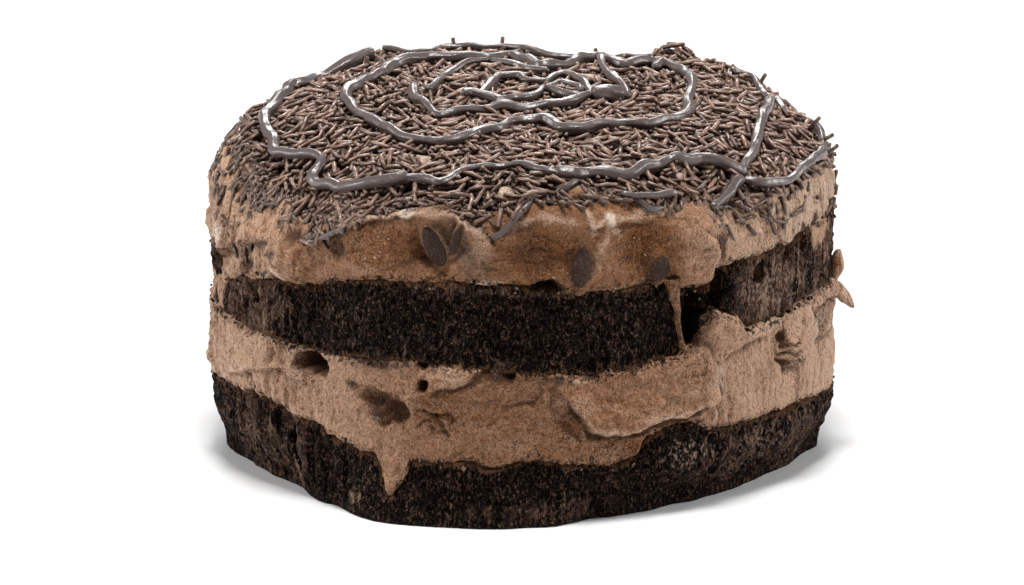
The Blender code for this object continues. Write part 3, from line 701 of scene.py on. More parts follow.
def from_patch(patch, along, up):
    """How far places are from the middle of a patch, as a share of its half width and height."""
    degrees, level, half_width, half_height = patch
    return np.hypot(arc_gap(along, degrees) / half_width, (up - level) / half_height)


def relief(features, along, up):
    """How far the named lumps and hollows move the side, in metres."""
    total = np.zeros(len(along))
    for *patch, depth, core in features:
        distance = from_patch(patch, along, up)
        total += depth * MM * (1.0 - ease((distance - core) / (1.0 - core)))
    return total


def to_path(path, along, up):
    """The distance to a path in mm, and on which side of it: 1 on its left, -1 on its right."""
    nearest = np.full(len(along), np.inf)
    hand = np.ones(len(along))
    for (degrees, level), (next_degrees, next_level) in zip(path, path[1:]):
        run = (next_degrees - degrees) * MEAN_ARC
        rise = next_level - level
        across = arc_gap(along, degrees)
        climb = up - level
        share = np.clip((across * run + climb * rise) / (run * run + rise * rise), 0.0, 1.0)
        distance = np.hypot(across - share * run, climb - share * rise)
        closer = distance < nearest
        nearest = np.where(closer, distance, nearest)
        hand = np.where(closer, np.sign(run * climb - rise * across), hand)
    return nearest, hand


def folds(features, along, up):
    """Smears that stand proud on the left of a path and fade away from it, in metres."""
    total = np.zeros(len(along))
    for depth, sharp, fade, path in features:
        distance, hand = to_path(path, along, up)
        beyond = np.exp(-((distance / fade) ** 2))
        total += depth * MM * beyond * ease(0.5 + 0.5 * hand * np.minimum(distance / sharp, 1.0))
        total -= 0.35 * depth * MM * np.exp(-((distance / (2 * sharp)) ** 2)) * (hand < 0)
    return total


def grooves(along, up):
    total = np.zeros(len(along))
    for depth, width, path in GROOVES:
        distance, _ = to_path(path, along, up)
        total += depth * MM * np.exp(-((distance / width) ** 2))
    return total


def painted(features, along, up):
    """Four channels of colour, one for each of PALE_AND_HIGHLIGHT, BROWN_AND_SHADE, RICH and GREY."""
    paint = np.zeros((len(along), 4))
    for channel, patches in features.items():
        for *patch, strength in patches:
            distance = from_patch(patch, along, up)
            paint[:, channel] += strength * (1.0 - ease((distance - 0.35) / 0.65))
    return paint


def streaked(paint, streaks, along, up):
    """Adds streaks to the four channels of colour."""
    for channel, strength, width, path in streaks:
        distance, _ = to_path(path, along, up)
        paint[:, channel] += strength * np.exp(-((distance / width) ** 2))


def fold_highlight_and_shade(paint, features, along, up):
    """Paints highlight on the proud lip of each fold and shade in the hollow under it."""
    for depth, sharp, _, path in features:
        distance, hand = to_path(path, along, up)
        # Painted highlight on the proud side of the edge, painted shade on the hollow side.
        lip = np.exp(-(((distance - 0.9) / 0.8) ** 2)) * depth
        paint[:, PALE_AND_HIGHLIGHT] += 0.30 * lip * (hand > 0)
        paint[:, BROWN_AND_SHADE] += 0.28 * lip * (hand < 0)


def chip_marks():
    """Each chip's angle and height, and the plane of its face and its spread on the side in mm."""
    marks = []
    for name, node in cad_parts.items():
        if not name.startswith("chocolate_chip"):
            continue
        places = np.array([(node.matrix_world @ corner.co)[:] for corner in node.data.vertices])
        degrees = np.degrees(np.arctan2(places[:, 1], places[:, 0]))
        level = places[:, 2].mean() / MM
        flat = np.stack((arc_gap(degrees * MEAN_ARC, degrees.mean()), places[:, 2] / MM - level))
        spread = np.linalg.inv(np.cov(flat))
        reach = np.einsum("ij,ik,kj->j", flat, spread, flat).max()
        terms = np.stack((*flat, np.ones(len(places))), axis=-1)
        ring = np.hypot(places[:, 0], places[:, 1]) / MM
        plane = np.linalg.lstsq(terms, ring, rcond=None)[0]
        plane[2] += (ring - terms @ plane).max()
        marks.append((degrees.mean(), level, plane, spread / reach))
    return marks


def round_chips(ring, angle, height):
    """Draws the cream back round each chip, so that the chip's face shows."""
    for degrees, level, plane, spread in chip_marks():
        flat = np.stack((arc_gap(np.degrees(angle) * MEAN_ARC, degrees), height / MM - level))
        nearness = np.sqrt(np.einsum("ij,ik,kj->j", flat, spread, flat))
        hold = 1.0 - ease((nearness - 1.0) / 0.4)
        face = (plane[0] * flat[0] + plane[1] * flat[1] + plane[2]) * MM
        ring = ring + (face - CHIP_PROUD - ring) * hold
    return ring


def dome_heights(x, y):
    """Heights of the smooth top above places in plan."""
    shape = bpy.context.scene.cake_shape
    angles = np.arctan2(y, x)
    shoulder = around(SHOULDER_HEIGHT, angles) * MM
    share = np.minimum(np.hypot(x, y) / side_radius(angles, shoulder), 1.0)
    arch = np.sqrt(1.0 - share ** shape.dome_power)
    flat = np.stack((x, y, np.zeros_like(x)), axis=-1)
    height = shoulder + (shape.crown - shoulder) * arch + 0.8 * MM * grain(flat, 22) * arch
    for middle_x, middle_y, reach, rise in SWELLS:
        distance = np.hypot(x / MM - middle_x, y / MM - middle_y) / reach
        height += rise * MM * np.exp(-(distance ** 2))
    return height


def heaped(x, y):
    """How thick the sprinkles lie over places in plan, from 0 to 1."""
    angles = np.arctan2(y, x)
    shoulder = around(SHOULDER_HEIGHT, angles) * MM
    share = np.hypot(x, y) / side_radius(angles, shoulder)
    flat = np.stack((x, y, np.zeros_like(x)), axis=-1)
    thick = ease((around(DENSE_REACH, angles) + 0.012 * grain(flat, 6) - share) / 0.035)
    for patch_x, patch_y, radius in BARE_PATCHES:
        distance = np.hypot(x / MM - patch_x, y / MM - patch_y) / radius
        thick *= ease((distance + 0.35 * grain(flat, 4, 7.0) - 0.7) / 0.5)
    return thick


def bed_heights(x, y):
    """Heights of the ice cream that the sprinkles lie on, which sinks under them."""
    return dome_heights(x, y) - BED_DEPTH * heaped(x, y)


# Meshes


def linked(name, data):
    """A new object in the scene."""
    item = bpy.data.objects.new(name, data)
    bpy.context.scene.collection.objects.link(item)
    return item


def new_piece(name, mesh, material, slot, *nodes):
    """Puts a finished mesh in the scene, on the cake's body and in place of its solids."""
    piece = linked(name, mesh)
    mesh.materials.clear()
    mesh.materials.append(material)
    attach(piece, "root")
    if nodes:
        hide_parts(*nodes)
    return piece


def wrap_drum(wall_height, rings):
    """A grid to wrap into a closed drum with rings over its top: outline shares and angles."""
    shape = bpy.context.scene.cake_shape
    rows = round(wall_height / shape.row)
    outline = [(0.0, 0.0), (0.9, 0.0)] + [(1.0, index / rows) for index in range(rows + 1)]
    outline += [(ring, 1.0) for ring in rings] + [(0.0, 1.0)]
    drum = bmesh.new()
    bmesh.ops.create_grid(
        drum, x_segments=shape.segments, y_segments=len(outline) - 1, size=1.0,
    )
    places = np.array([corner.co[:] for corner in drum.verts])
    row = np.rint((places[:, 1] + 1.0) / 2.0 * (len(outline) - 1)).astype(int)
    shares = np.array(outline)[row]
    angle = np.where(places[:, 0] > 1.0 - SEAM, -1.0, places[:, 0]) * math.pi
    return drum, shares[:, 0], shares[:, 1], angle


def close_drum(drum, name, radius, angle, height, paint, edge):
    """Wraps a drum's grid to its final form and carries its colour patches as attributes."""
    paint_layer = drum.verts.layers.float_color.new("paint")
    edge_layer = drum.verts.layers.float.new("edge")
    upper = height > height.mean()
    for end in (upper, ~upper):
        middle = end & (radius < SEAM)
        height[middle] = height[middle].mean()
    places = np.stack((radius * np.cos(angle), radius * np.sin(angle), height), axis=-1)
    rows = zip(drum.verts, places.tolist(), paint.tolist(), np.clip(edge, 0, 1).tolist())
    for corner, place, colour, nearness in rows:
        corner.co = place
        corner[paint_layer] = colour
        corner[edge_layer] = nearness
    bmesh.ops.remove_doubles(drum, verts=drum.verts, dist=SEAM)
    bmesh.ops.recalc_face_normals(drum, faces=drum.faces)
    return finish_mesh(drum, name)


def finish_mesh(drum, name, smooth=True):
    mesh = bpy.data.meshes.new(name)
    drum.to_mesh(mesh)
    drum.free()
    if smooth:
        mesh.shade_smooth()
    return mesh


def build_sponge(name, foot_table, head_table, paint_table, node, material):
    """A round of sponge, with an open crumb on its side and its ends just inside the cream."""
    drum, share, level, angle = wrap_drum(27 * MM, (0.9,))
    foot = around(foot_table, angle) * MM - SPONGE_TUCK if foot_table else np.zeros(len(angle))
    head = around(head_table, angle) * MM + SPONGE_TUCK
    height = foot + (head - foot) * level
    spot = unit_places(angle, height)
    along, up = unrolled(angle, height)
    radius = side_radius(angle, height) - 0.2 * MM
    radius += relief(SPONGE_RELIEF, along, up)
    crumbly = 0.5 * MM * grain(spot, (2.8, 2.8, 3.6), 1.0)
    crumbly -= 1.3 * MM * ease(1.0 - pores(spot, (1.6, 1.6, 3.0), 2.0) * 1.6)
    torn = ease(1.0 - pores(spot, (2.4, 2.4, 7.0), 4.0) * 1.7)
    crumbly -= 2.0 * MM * left_share(angle) * torn
    crumbly += 0.5 * MM * grain(spot, (1.1, 1.1, 1.8), 6.0)
    radius += 0.8 * MM * grain(spot, 9, 5.0)
    radius += crumbly * (1.0 if foot_table else 0.15 + 0.85 * ease(height / (5 * MM)))
    above = height - head + SPONGE_TUCK
    below = foot + SPONGE_TUCK - height if foot_table else 0.0
    radius -= 3.0 * MM * np.clip(np.maximum(below, above) / SPONGE_TUCK, 0.0, 1.0)
    edge = 1.0 - (head - SPONGE_TUCK - height) / SPONGE_RIM
    if foot_table:
        edge = np.maximum(1.0 - (height - foot - SPONGE_TUCK) / SPONGE_RIM, edge)
    paint = painted(paint_table, along, up)
    mesh = close_drum(drum, name, share * radius, angle, height, paint, edge)
    return new_piece(name, mesh, material, "sponge", node)


def tooling(angle, height, spot):
    """The finish of the ice cream's side: lumps and drags in front, streaks up its ends."""
    degrees = np.degrees(angle)
    ends = ease((np.abs(spot[:, 0]) - 50 * MM) / (24 * MM)) * (np.abs(degrees + 90.0) > 20)
    left = left_share(angle)
    marks = 1.0 * MM * grain(spot, (15, 15, 10), 4.0)
    marks += 0.5 * MM * grain(spot, (9, 9, 3.0), 7.0) * (1.0 - 0.6 * ends)
    marks += 0.35 * MM * grain(spot, (1.5, 1.5, 12), 8.0) * ends
    marks += (0.36 + 0.40 * left) * MM * grain(spot, (2.2, 2.2, 2.6), 5.0)
    marks += (0.34 + 0.20 * left) * MM * grain(spot, (1.2, 1.2, 1.6), 2.0)
    marks += 0.95 * left * MM * grain(spot, (2.2, 2.2, 8.0), 17.0)
    torn = 1.0 - np.abs(grain(spot, (6, 6, 4), 14.0)) * 4.0
    return marks - 0.5 * MM * np.clip(torn, 0.0, 1.0) ** 2 * (1.0 - 0.5 * ends)


def lip_drop(lip_table, angle, gap):
    """How far the cream draws back towards an edge that is a gap away."""
    drop = (around(lip_table, angle) + 0.6) * MM
    return drop * (1.0 - ease(gap / (1.2 * drop + 0.6 * MM))) ** 2


def ragged(rim, seed):
    return 0.9 * MM * grain(rim, 4, seed) + 0.6 * MM * grain(rim, 1.6, seed + 1.0)


def build_lower_cream(material):
    """The thick layer of ice cream between the two rounds of sponge."""
    drum, share, level, angle = wrap_drum(32 * MM, (0.985, 0.9))
    foot = around(LOWER_SPONGE_TOP, angle) * MM
    head = around(MIDDLE_SPONGE_FOOT, angle) * MM
    rim = unit_places(angle, foot)
    foot = foot + ragged(rim, 1.0) * (1.0 + 0.7 * left_share(angle))
    head = head + ragged(rim, 5.0)
    height = foot + (head - foot) * level
    spot = unit_places(angle, height)
    along, up = unrolled(angle, height)
    radius = side_radius(angle, height) - 0.3 * MM + 0.5 * MM * around(LOWER_LIP, angle)
    radius += relief(LOWER_RELIEF, along, up) + folds(LOWER_FOLDS, along, up) + grooves(along, up)
    radius += tooling(angle, height, spot)
    radius -= lip_drop(LOWER_LIP, angle, height - foot)
    radius -= lip_drop(LOWER_HEAD_LIP, angle, head - height)
    paint = painted(LOWER_PAINT, along, up)
    streaked(paint, LOWER_STREAKS, along, up)
    fold_highlight_and_shade(paint, LOWER_FOLDS, along, up)
    # Painted shade: the lid of this layer under the middle sponge is made less pale and near-black, and each
    # groove is painted darker by its depth.
    paint[:, PALE_AND_HIGHLIGHT] += around(LOWER_PALENESS, angle) - 0.5 * (share < 1.0)
    paint[:, BROWN_AND_SHADE] += np.clip(-grooves(along, up) / (3.0 * MM), 0.0, 1.0) + 2.5 * (share < 1.0)
    edge = 1.0 - np.minimum(height - foot, head - height) / CREAM_RIM
    mesh = close_drum(drum, "ice_cream_lower_side", share * radius, angle, height, paint, edge)
    return new_piece("ice_cream_lower_side", mesh, material, "ice_cream", "ice_cream_lower")


def build_upper_cream(material):
    """The top layer of ice cream, domed, with a ragged edge at the front."""
    rings = [1.0 - 0.2 * (index / 34) ** 1.5 for index in range(1, 35)]
    rings += [0.8 - 0.8 * index / 24 for index in range(1, 24)]
    drum, share, level, angle = wrap_drum(26 * MM, rings)
    on_top = level > 0.9999
    foot = around(MIDDLE_SPONGE_TOP, angle) * MM
    head = around(SHOULDER_HEIGHT, angle) * MM
    foot = foot + ragged(unit_places(angle, foot), 11.0)
    height = foot + (head - foot) * level
    radius = side_radius(angle, height)
    x = share * radius * np.cos(angle)
    y = share * radius * np.sin(angle)
    height = np.where(on_top, bed_heights(x, y), height)
    spot = unit_places(angle, height)
    along, up = unrolled(angle, height)
    proud = relief(UPPER_RELIEF, along, up) + folds(UPPER_FOLDS, along, up) + grooves(along, up)
    proud += tooling(angle, height, spot) - 0.3 * MM + 0.5 * MM * around(UPPER_LIP, angle)
    proud -= lip_drop(UPPER_LIP, angle, height - foot)
    near_rim = ease((share - 0.8) / 0.18)
    bumps = grain(np.stack((x, y, height), axis=-1), 4, 21.0)
    height += near_rim * on_top * 0.8 * MM * bumps
    paint = painted(UPPER_PAINT, along, up)
    streaked(paint, UPPER_STREAKS, along, up)
    fold_highlight_and_shade(paint, UPPER_FOLDS, along, up)
    paint[:, PALE_AND_HIGHLIGHT] += around(UPPER_PALENESS, angle)
    # Painted shade: under the sprinkles the ice cream is painted near-black, so that the gaps between them
    # look deep.
    covered = heaped(x, y) ** 3 * on_top
    paint[:, BROWN_AND_SHADE] += covered * 2.5
    paint[:, PALE_AND_HIGHLIGHT] += (1.0 - covered) * ease((0.93 - share) / 0.04) * 1.6
    edge = 1.0 - (height - foot) / CREAM_RIM
    ring = share * radius + proud * near_rim
    ring = np.where(near_rim > 0.5, round_chips(ring, angle, height), ring)
    mesh = close_drum(drum, "ice_cream_upper_dome", ring, angle, height, paint, edge)
    return new_piece("ice_cream_upper_dome", mesh, material, "ice_cream", "ice_cream_upper")


# Toppings


def rod_template(bent):
    """A sprinkle of unit length and radius along Z, with domed ends, cut at its middle if bent."""
    rod = bmesh.new()
    bmesh.ops.create_cone(
        rod, cap_ends=True, cap_tris=True, segments=5, radius1=1.0, radius2=1.0, depth=1.0,
    )
    tips = [corner for corner in rod.verts if corner.co.to_2d().length < 0.5]
    bmesh.ops.scale(rod, vec=(1.0, 1.0, 1.08), verts=tips)
    if bent:
        bmesh.ops.bisect_plane(
            rod, geom=rod.verts[:] + rod.edges[:] + rod.faces[:], plane_co=(0, 0, 0),
            plane_no=(0, 0, 1),
        )
    rod.verts.index_update()
    places = np.array([corner.co[:] for corner in rod.verts])
    faces = [[corner.index for corner in face.verts] for face in rod.faces]
    rod.free()
    return places, faces


def join_rods(name, rods):
    """One mesh of many rods, each given by place, axis, up, length, thickness, bend and shade, and darker
    underneath as painted shade.
    """
    templates = {bent: rod_template(bent) for bent in (False, True)}
    corners = []
    shades = []
    joined = []
    for place, axis, up, length, thickness, bend, shade in rods:
        places, faces = templates[abs(bend) > 0.035 * length]
        across = np.cross(axis, up)
        lift = bend * (1.0 - 4.0 * places[:, 2] ** 2)
        body = (
            np.outer(places[:, 0] * thickness / 2, across)
            + np.outer(places[:, 1] * thickness / 2 + lift, up)
            + np.outer(places[:, 2] * length, axis)
        )
        joined += [[corner + len(shades) for corner in face] for face in faces]
        corners.append(body + place)
        # Painted shade: each sprinkle is darker towards its underside, where it meets those under it.
        shades += (shade * (0.55 + 0.45 * places[:, 1])).tolist()
    mesh = bpy.data.meshes.new(name)
    mesh.from_pydata(np.concatenate(corners).tolist(), [], joined)
    shade = mesh.attributes.new("shade", "FLOAT", "POINT")
    shade.data.foreach_set("value", np.array(shades, np.float32))
    mesh.shade_smooth()
    return mesh


class Heap:
    """Heights over the top of the cake, which grow as sprinkles are laid on it."""

    def __init__(self):
        self.cell = 0.5 * MM
        self.half = 96 * MM
        steps = np.arange(-self.half, self.half, self.cell)
        x, y = np.meshgrid(steps, steps, indexing="ij")
        self.ground = bed_heights(x.ravel(), y.ravel()).reshape(x.shape)
        self.thick = heaped(x.ravel(), y.ravel()).reshape(x.shape)
        self.top = self.ground.copy()

    def cells(self, x, y):
        limit = len(self.top) - 1
        column = np.clip(((np.asarray(x) + self.half) / self.cell).astype(int), 0, limit)
        row = np.clip(((np.asarray(y) + self.half) / self.cell).astype(int), 0, limit)
        return column, row

    def rest(self, x, y, turn, length):
        """The line that a rod rests on: its height at the middle, its slope and its rise."""
        along = np.linspace(-0.46, 0.46, 9) * length
        heights = self.top[self.cells(x + np.cos(turn) * along, y + np.sin(turn) * along)]
        first = int(np.argmax(heights[:5]))
        second = 4 + int(np.argmax(heights[4:]))
        if first == second:
            first, second = 0, -1
        slope = (heights[second] - heights[first]) / (along[second] - along[first])
        slope = float(np.clip(slope, -0.9, 0.9))
        middle = float(np.max(heights - slope * along))
        ground = self.ground[self.cells(x, y)]
        return middle, slope, middle - float(ground)

    def cover(self, x, y, turn, length, thickness, middle, slope):
        along = np.linspace(-0.5, 0.5, 13) * length
        for aside in (-0.4, 0.0, 0.4):
            column, row = self.cells(
                x + np.cos(turn) * along - np.sin(turn) * aside * thickness,
                y + np.sin(turn) * along + np.cos(turn) * aside * thickness,
            )
            crest = middle + slope * along + thickness * (1.0 - 0.5 * abs(aside))
            np.maximum.at(self.top, (column, row), crest)


def facing_up(axis, up):
    """A rod's axis made unit, and the direction nearest to up that is square to it."""
    axis = axis / np.linalg.norm(axis)
    up = up - np.dot(up, axis) * axis
    return axis, up / np.linalg.norm(up)


def lay_heap(heap, draw):
    """Sprinkles laid one by one on the top, each where it finds the lowest of a few places."""
    topping = bpy.context.scene.cake_topping
    rods = []
    reach = 93 * MM
    while len(rods) < topping.sprinkles:
        length = max(SHORTEST_ROD, draw.gauss(topping.length, LENGTH_SPREAD))
        thickness = topping.thickness * draw.uniform(0.88, 1.12)
        best = None
        tries = 0
        while tries < 6:
            x = draw.uniform(-reach, reach)
            y = draw.uniform(-reach, reach)
            if heap.thick[heap.cells(x, y)] < draw.random():
                continue
            tries += 1
            drift = noise.noise((x / 0.014, y / 0.014, 0.5)) * 2.6
            turn = drift + draw.gauss(0.0, 0.75)
            middle, slope, rise = heap.rest(x, y, turn, length)
            if best is None or rise < best[5]:
                best = (x, y, turn, middle, slope, rise)
        x, y, turn, middle, slope, _ = best
        middle -= 0.15 * thickness
        heap.cover(x, y, turn, length, thickness, middle, slope)
        axis, up = facing_up(
            np.array((math.cos(turn), math.sin(turn), slope)), np.array((0.0, 0.0, 1.0)),
        )
        place = np.array((x, y, middle)) + up * thickness / 2
        bend = draw.gauss(0.0, BEND_SPREAD) * length
        # Painted shade: sprinkles laid early, which end up low in the heap, are darker.
        shade = draw.uniform(0.35, 1.0) * (0.1 + 0.9 * len(rods) / topping.sprinkles)
        rods.append((place, axis, up, length, thickness, bend, shade))
    return rods


def shoulder_path(angle):
    """The way down the shoulder at an angle: ring radii, heights, and mm down from its brink."""
    turn = np.full(32, angle)
    ring = side_radius(turn, around(SHOULDER_HEIGHT, turn) * MM) * np.linspace(0.78, 1.0, 32)
    height = bed_heights(ring * np.cos(turn), ring * np.sin(turn))
    along = np.cumsum(np.hypot(np.diff(ring, prepend=ring[0]), np.diff(height, prepend=height[0])))
    return ring, height, (along - along[-1]) / MM


def shoulder_place(angle, travel):
    """A place on the shoulder or below its brink, and the way it faces."""
    ring, height, along = shoulder_path(angle)
    outward = np.array((math.cos(angle), math.sin(angle), 0.0))
    if travel > 0.0:
        return outward * (ring[-1] + 0.5 * MM) + np.array((0, 0, height[-1] - travel * MM)), outward
    ends = np.array((travel - 1.0, min(travel + 1.0, 0.0)))
    rings = np.interp(ends, along, ring)
    heights = np.interp(ends, along, height)
    tilt = math.atan2(heights[0] - heights[1], rings[1] - rings[0])
    facing = outward * math.sin(tilt) + np.array((0.0, 0.0, math.cos(tilt)))
    return outward * rings.mean() + np.array((0, 0, heights.mean())), facing


def lay_strays(draw):
    """Sprinkles that cling to the slope of the shoulder, and some that stand at the far edge."""
    topping = bpy.context.scene.cake_topping
    rods = []
    for first, last, start, end, number, heap_height in STRAY_ZONES:
        for _ in range(number):
            angle = math.radians(draw.uniform(first, last))
            place, facing = shoulder_place(angle, draw.uniform(start, end))
            level = np.array((-math.sin(angle), math.cos(angle), 0.0))
            down = np.cross(level, facing)
            turn = draw.uniform(0.0, math.pi)
            axis = level * math.cos(turn) + down * math.sin(turn) + facing * draw.gauss(0.0, 0.12)
            axis, up = facing_up(axis, facing)
            length = max(SHORTEST_ROD, draw.gauss(topping.length, LENGTH_SPREAD))
            thickness = topping.thickness * draw.uniform(0.88, 1.1)
            shade = draw.uniform(0.06, 0.27 + 0.5 * heap_height)
            place = place + facing * (thickness * 0.3 + draw.uniform(0.0, heap_height) * MM)
            bend = draw.gauss(0.0, BEND_SPREAD) * length
            rods.append((place, axis, up, length, thickness, bend, shade))
    for x, y, lean in STANDING:
        tilt = math.radians(lean)
        axis = np.array((math.sin(tilt), 0.0, math.cos(tilt)))
        up = np.array((0.0, -1.0, 0.0))
        ground = bed_heights(np.array([x * MM]), np.array([y * MM]))[0]
        place = np.array((x * MM, y * MM, ground)) + axis * 5.6 * MM
        rods.append((place, axis, up, topping.length, topping.thickness, 0.1 * MM, 0.2))
    return rods


def smooth_route(points, step):
    """Points about a step apart along a smooth curve through the given ones, in mm."""
    ends = [points[0]] + list(points) + [points[-1]]
    route = []
    for before, start, end, after in zip(ends, ends[1:], ends[2:], ends[3:]):
        count = max(1, round(math.dist(start, end) / step))
        for index in range(count):
            t = index / count
            place = [
                0.5 * (2 * b + (c - a) * t + (2 * a - 5 * b + 4 * c - d) * t * t
                       + (3 * b - a - 3 * c + d) * t ** 3)
                for a, b, c, d in zip(before, start, end, after)
            ]
            route.append(tuple(place))
    route.append(tuple(points[-1]))
    return route


def lobed_profile(diameter):
    """The cross-section of a strand: round, with soft lobes, and a little wider than tall."""
    outline = bpy.data.curves.new("profile", "CURVE")
    outline.dimensions = "2D"
    spline = outline.splines.new("POLY")
    spline.points.add(PROFILE_POINTS - 1)
    spline.use_cyclic_u = True
    for index, point in enumerate(spline.points):
        turn = math.tau * index / PROFILE_POINTS
        radius = diameter * MM / 2 * (1.0 + 0.10 * math.cos(5.0 * turn) + 0.06 * math.cos(2.0 * turn))
        point.co = (radius * math.cos(turn), radius * math.sin(turn), 0.0, 1.0)
    return linked("profile", outline)


def strand_heights(route, heap):
    """The height of the sprinkles under each point of a route, smoothed along it."""
    heights = []
    for x, y in route:
        offsets = np.linspace(-1.2, 1.2, 5) * MM
        spread_x, spread_y = np.meshgrid(x + offsets, y + offsets)
        heights.append(float(np.percentile(heap.top[heap.cells(spread_x, spread_y)], 75)))
    window = np.hanning(15) / np.hanning(15).sum()
    return np.convolve(np.pad(heights, 7, mode="edge"), window, mode="valid")


def top_route(diameter, points, heap):
    """The middle line of a strand that lies on top of the sprinkles."""
    route = []
    for x, y in smooth_route(points, STRAND_STEP):
        x, y = x * MM, y * MM
        limit = 0.985 * float(around(SIDE_RADIUS, np.array([math.atan2(y, x)]))[0]) * MM
        inside = min(1.0, limit / max(math.hypot(x, y), MM))
        route.append((x * inside, y * inside))
    heights = strand_heights(route, heap) + 0.36 * diameter * MM
    return [(x, y, height) for (x, y), height in zip(route, heights)]


def edge_route(diameter, points):
    """The middle line of a strand that clings to the slope of the shoulder."""
    route = []
    for degrees, travel in smooth_route(points, STRAND_STEP):
        place, facing = shoulder_place(math.radians(degrees), travel)
        route.append(tuple(place + facing * 0.5 * diameter * MM))
    return route


def strand_mesh(index, diameter, route):
    """One strand of drizzle, a lobed tube of uneven thickness."""
    curve = bpy.data.curves.new("strand", "CURVE")
    curve.dimensions = "3D"
    profile = lobed_profile(diameter)
    curve.bevel_mode = "OBJECT"
    curve.bevel_object = profile
    curve.use_fill_caps = True
    spline = curve.splines.new("POLY")
    spline.points.add(len(route) - 1)
    last = len(route) - 1
    for number, (point, (x, y, height)) in enumerate(zip(spline.points, route)):
        thick = 1.0 + 0.34 * noise.noise((x / 0.011, y / 0.011, 3.0 * index))
        thick += 0.16 * noise.noise((x / 0.0045, y / 0.0045, 5.0 + index))
        end = min(number, last - number) * 0.8 * MM
        thick *= math.sqrt(min(1.0, (end + 0.2 * MM) / (1.6 * MM)))
        point.co = (x, y, height, 1.0)
        point.radius = thick
        point.tilt = 1.4 * noise.noise((x / 0.02, y / 0.02, 9.0))
    strand = linked("strand", curve)
    shown = strand.evaluated_get(bpy.context.evaluated_depsgraph_get())
    mesh = bpy.data.meshes.new_from_object(shown)
    bpy.data.objects.remove(strand)
    bpy.data.objects.remove(profile)
    return mesh


def pillar_mesh():
    """The stretched cream that joins the two layers of ice cream at the right of the sponge."""
    pillar = bmesh.new()
    rings = []
    for degrees, level, width in smooth_route(PILLAR, PILLAR_STEP):
        angle = np.array([math.radians(degrees)])
        ring = side_radius(angle, np.array([level * MM]))[0] + 0.2 * MM
        place = Matrix.Translation((ring * math.cos(angle[0]), ring * math.sin(angle[0]), level * MM))
        turn = Matrix.Rotation(angle[0], 4, "Z")
        scale = Matrix.Diagonal((1.2 * MM + 0.15 * width * MM, width / 2 * MM, 1.0, 1.0))
        made = bmesh.ops.create_circle(pillar, segments=28, radius=1.0, matrix=place @ turn @ scale)
        rings.append([edge for edge in pillar.edges if edge.verts[0] in set(made["verts"])])
    for lower, upper in zip(rings, rings[1:]):
        bmesh.ops.bridge_loops(pillar, edges=lower + upper)
    paint_layer = pillar.verts.layers.float_color.new("paint")
    for corner in pillar.verts:
        corner.co += noise.noise_vector(corner.co / (2.6 * MM)) * 0.35 * MM
        corner[paint_layer] = (0.3, 0.2, 0.9, 0.0)
    bmesh.ops.recalc_face_normals(pillar, faces=pillar.faces)
    return finish_mesh(pillar, "pillar")


def scatter_crumbs(draw):
    """Crumbs of sponge clinging to the side along the edges of the layers."""
    joined = bmesh.new()
    for _ in range(CRUMBS):
        angle = math.radians(draw.uniform(-180.0, 180.0))
        turn = np.array([angle])
        table = draw.choice((LOWER_SPONGE_TOP, MIDDLE_SPONGE_FOOT, MIDDLE_SPONGE_TOP, MIDDLE_SPONGE_TOP))
        height = around(table, turn)[0] * MM + draw.gauss(0.0, 1.1) * MM
        ring = float(side_radius(turn, np.array([height]))[0]) + 0.5 * MM
        size = min(1.0, max(0.3, draw.gauss(0.5, 0.18))) * MM
        spin = Matrix.Rotation(draw.uniform(0.0, math.tau), 4, (0.3, 0.5, 0.8))
        stretch = Matrix.Diagonal((draw.uniform(0.6, 1.3), draw.uniform(0.6, 1.3), 0.8, 1.0))
        place = Matrix.Translation((ring * math.cos(angle), ring * math.sin(angle), height))
        bmesh.ops.create_icosphere(
            joined, subdivisions=1, radius=size, matrix=place @ spin @ stretch,
        )
    return joined


def lumps_mesh():
    """Soft lumps of ice cream, drawn out and rippled."""
    joined = bmesh.new()
    for middle, half_sizes, lean in SIDE_LUMPS:
        place = Matrix.Translation([value * MM for value in middle])
        turn = Matrix.Rotation(math.radians(lean), 4, "Y")
        scale = Matrix.Diagonal([value * MM for value in half_sizes] + [1.0])
        bmesh.ops.create_icosphere(joined, subdivisions=5, radius=1.0, matrix=place @ turn @ scale)
    paint_layer = joined.verts.layers.float_color.new("paint")
    for corner in joined.verts:
        swirl = noise.noise_vector(corner.co / (6.0 * MM))
        ripple = noise.noise(Vector((corner.co.x, corner.co.y, corner.co.z * 0.3)) / (1.5 * MM))
        corner.co += swirl * 1.2 * MM
        corner.co.x += ripple * 0.5 * MM
        corner[paint_layer] = (0.85 + ripple, 0.0, 0.3 - ripple, 0.0)
    return finish_mesh(joined, "lumps")


# Materials

# The whitish cream colour also serves as painted highlight on lips and ridges, and the near-black colour
# after it is painted shade.
WHITISH_CREAM_AND_HIGHLIGHT = (0.70, 0.56, 0.46)
DEEP_SHADE = (0.006, 0.003, 0.002)
ICE = (0.75, 0.62, 0.55)
RICH_SPONGE = (0.062, 0.034, 0.024)
SPONGE_DUST = (0.30, 0.20, 0.145)
SOAKED_SPONGE = (0.135, 0.066, 0.034)
CHIP_BLOOM = (0.085, 0.056, 0.045)
CHIP_GRAINS = (0.20, 0.15, 0.12)
SPRINKLE_SHEEN = (1.0, 0.80, 0.68, 1.0)
FLOOR_DARK = (0.84, 0.84, 0.84)
FLOOR_PALE = (0.86, 0.86, 0.86)

def maths(operation, reflected=False):
    """An operator of a wire, which adds a Math node."""
    def operate(wire, other=0.0):
        pair = (other, wire) if reflected else (wire, other)
        return wire.graph.add("ShaderNodeMath", {"operation": operation}, dict(enumerate(pair)))
    return operate


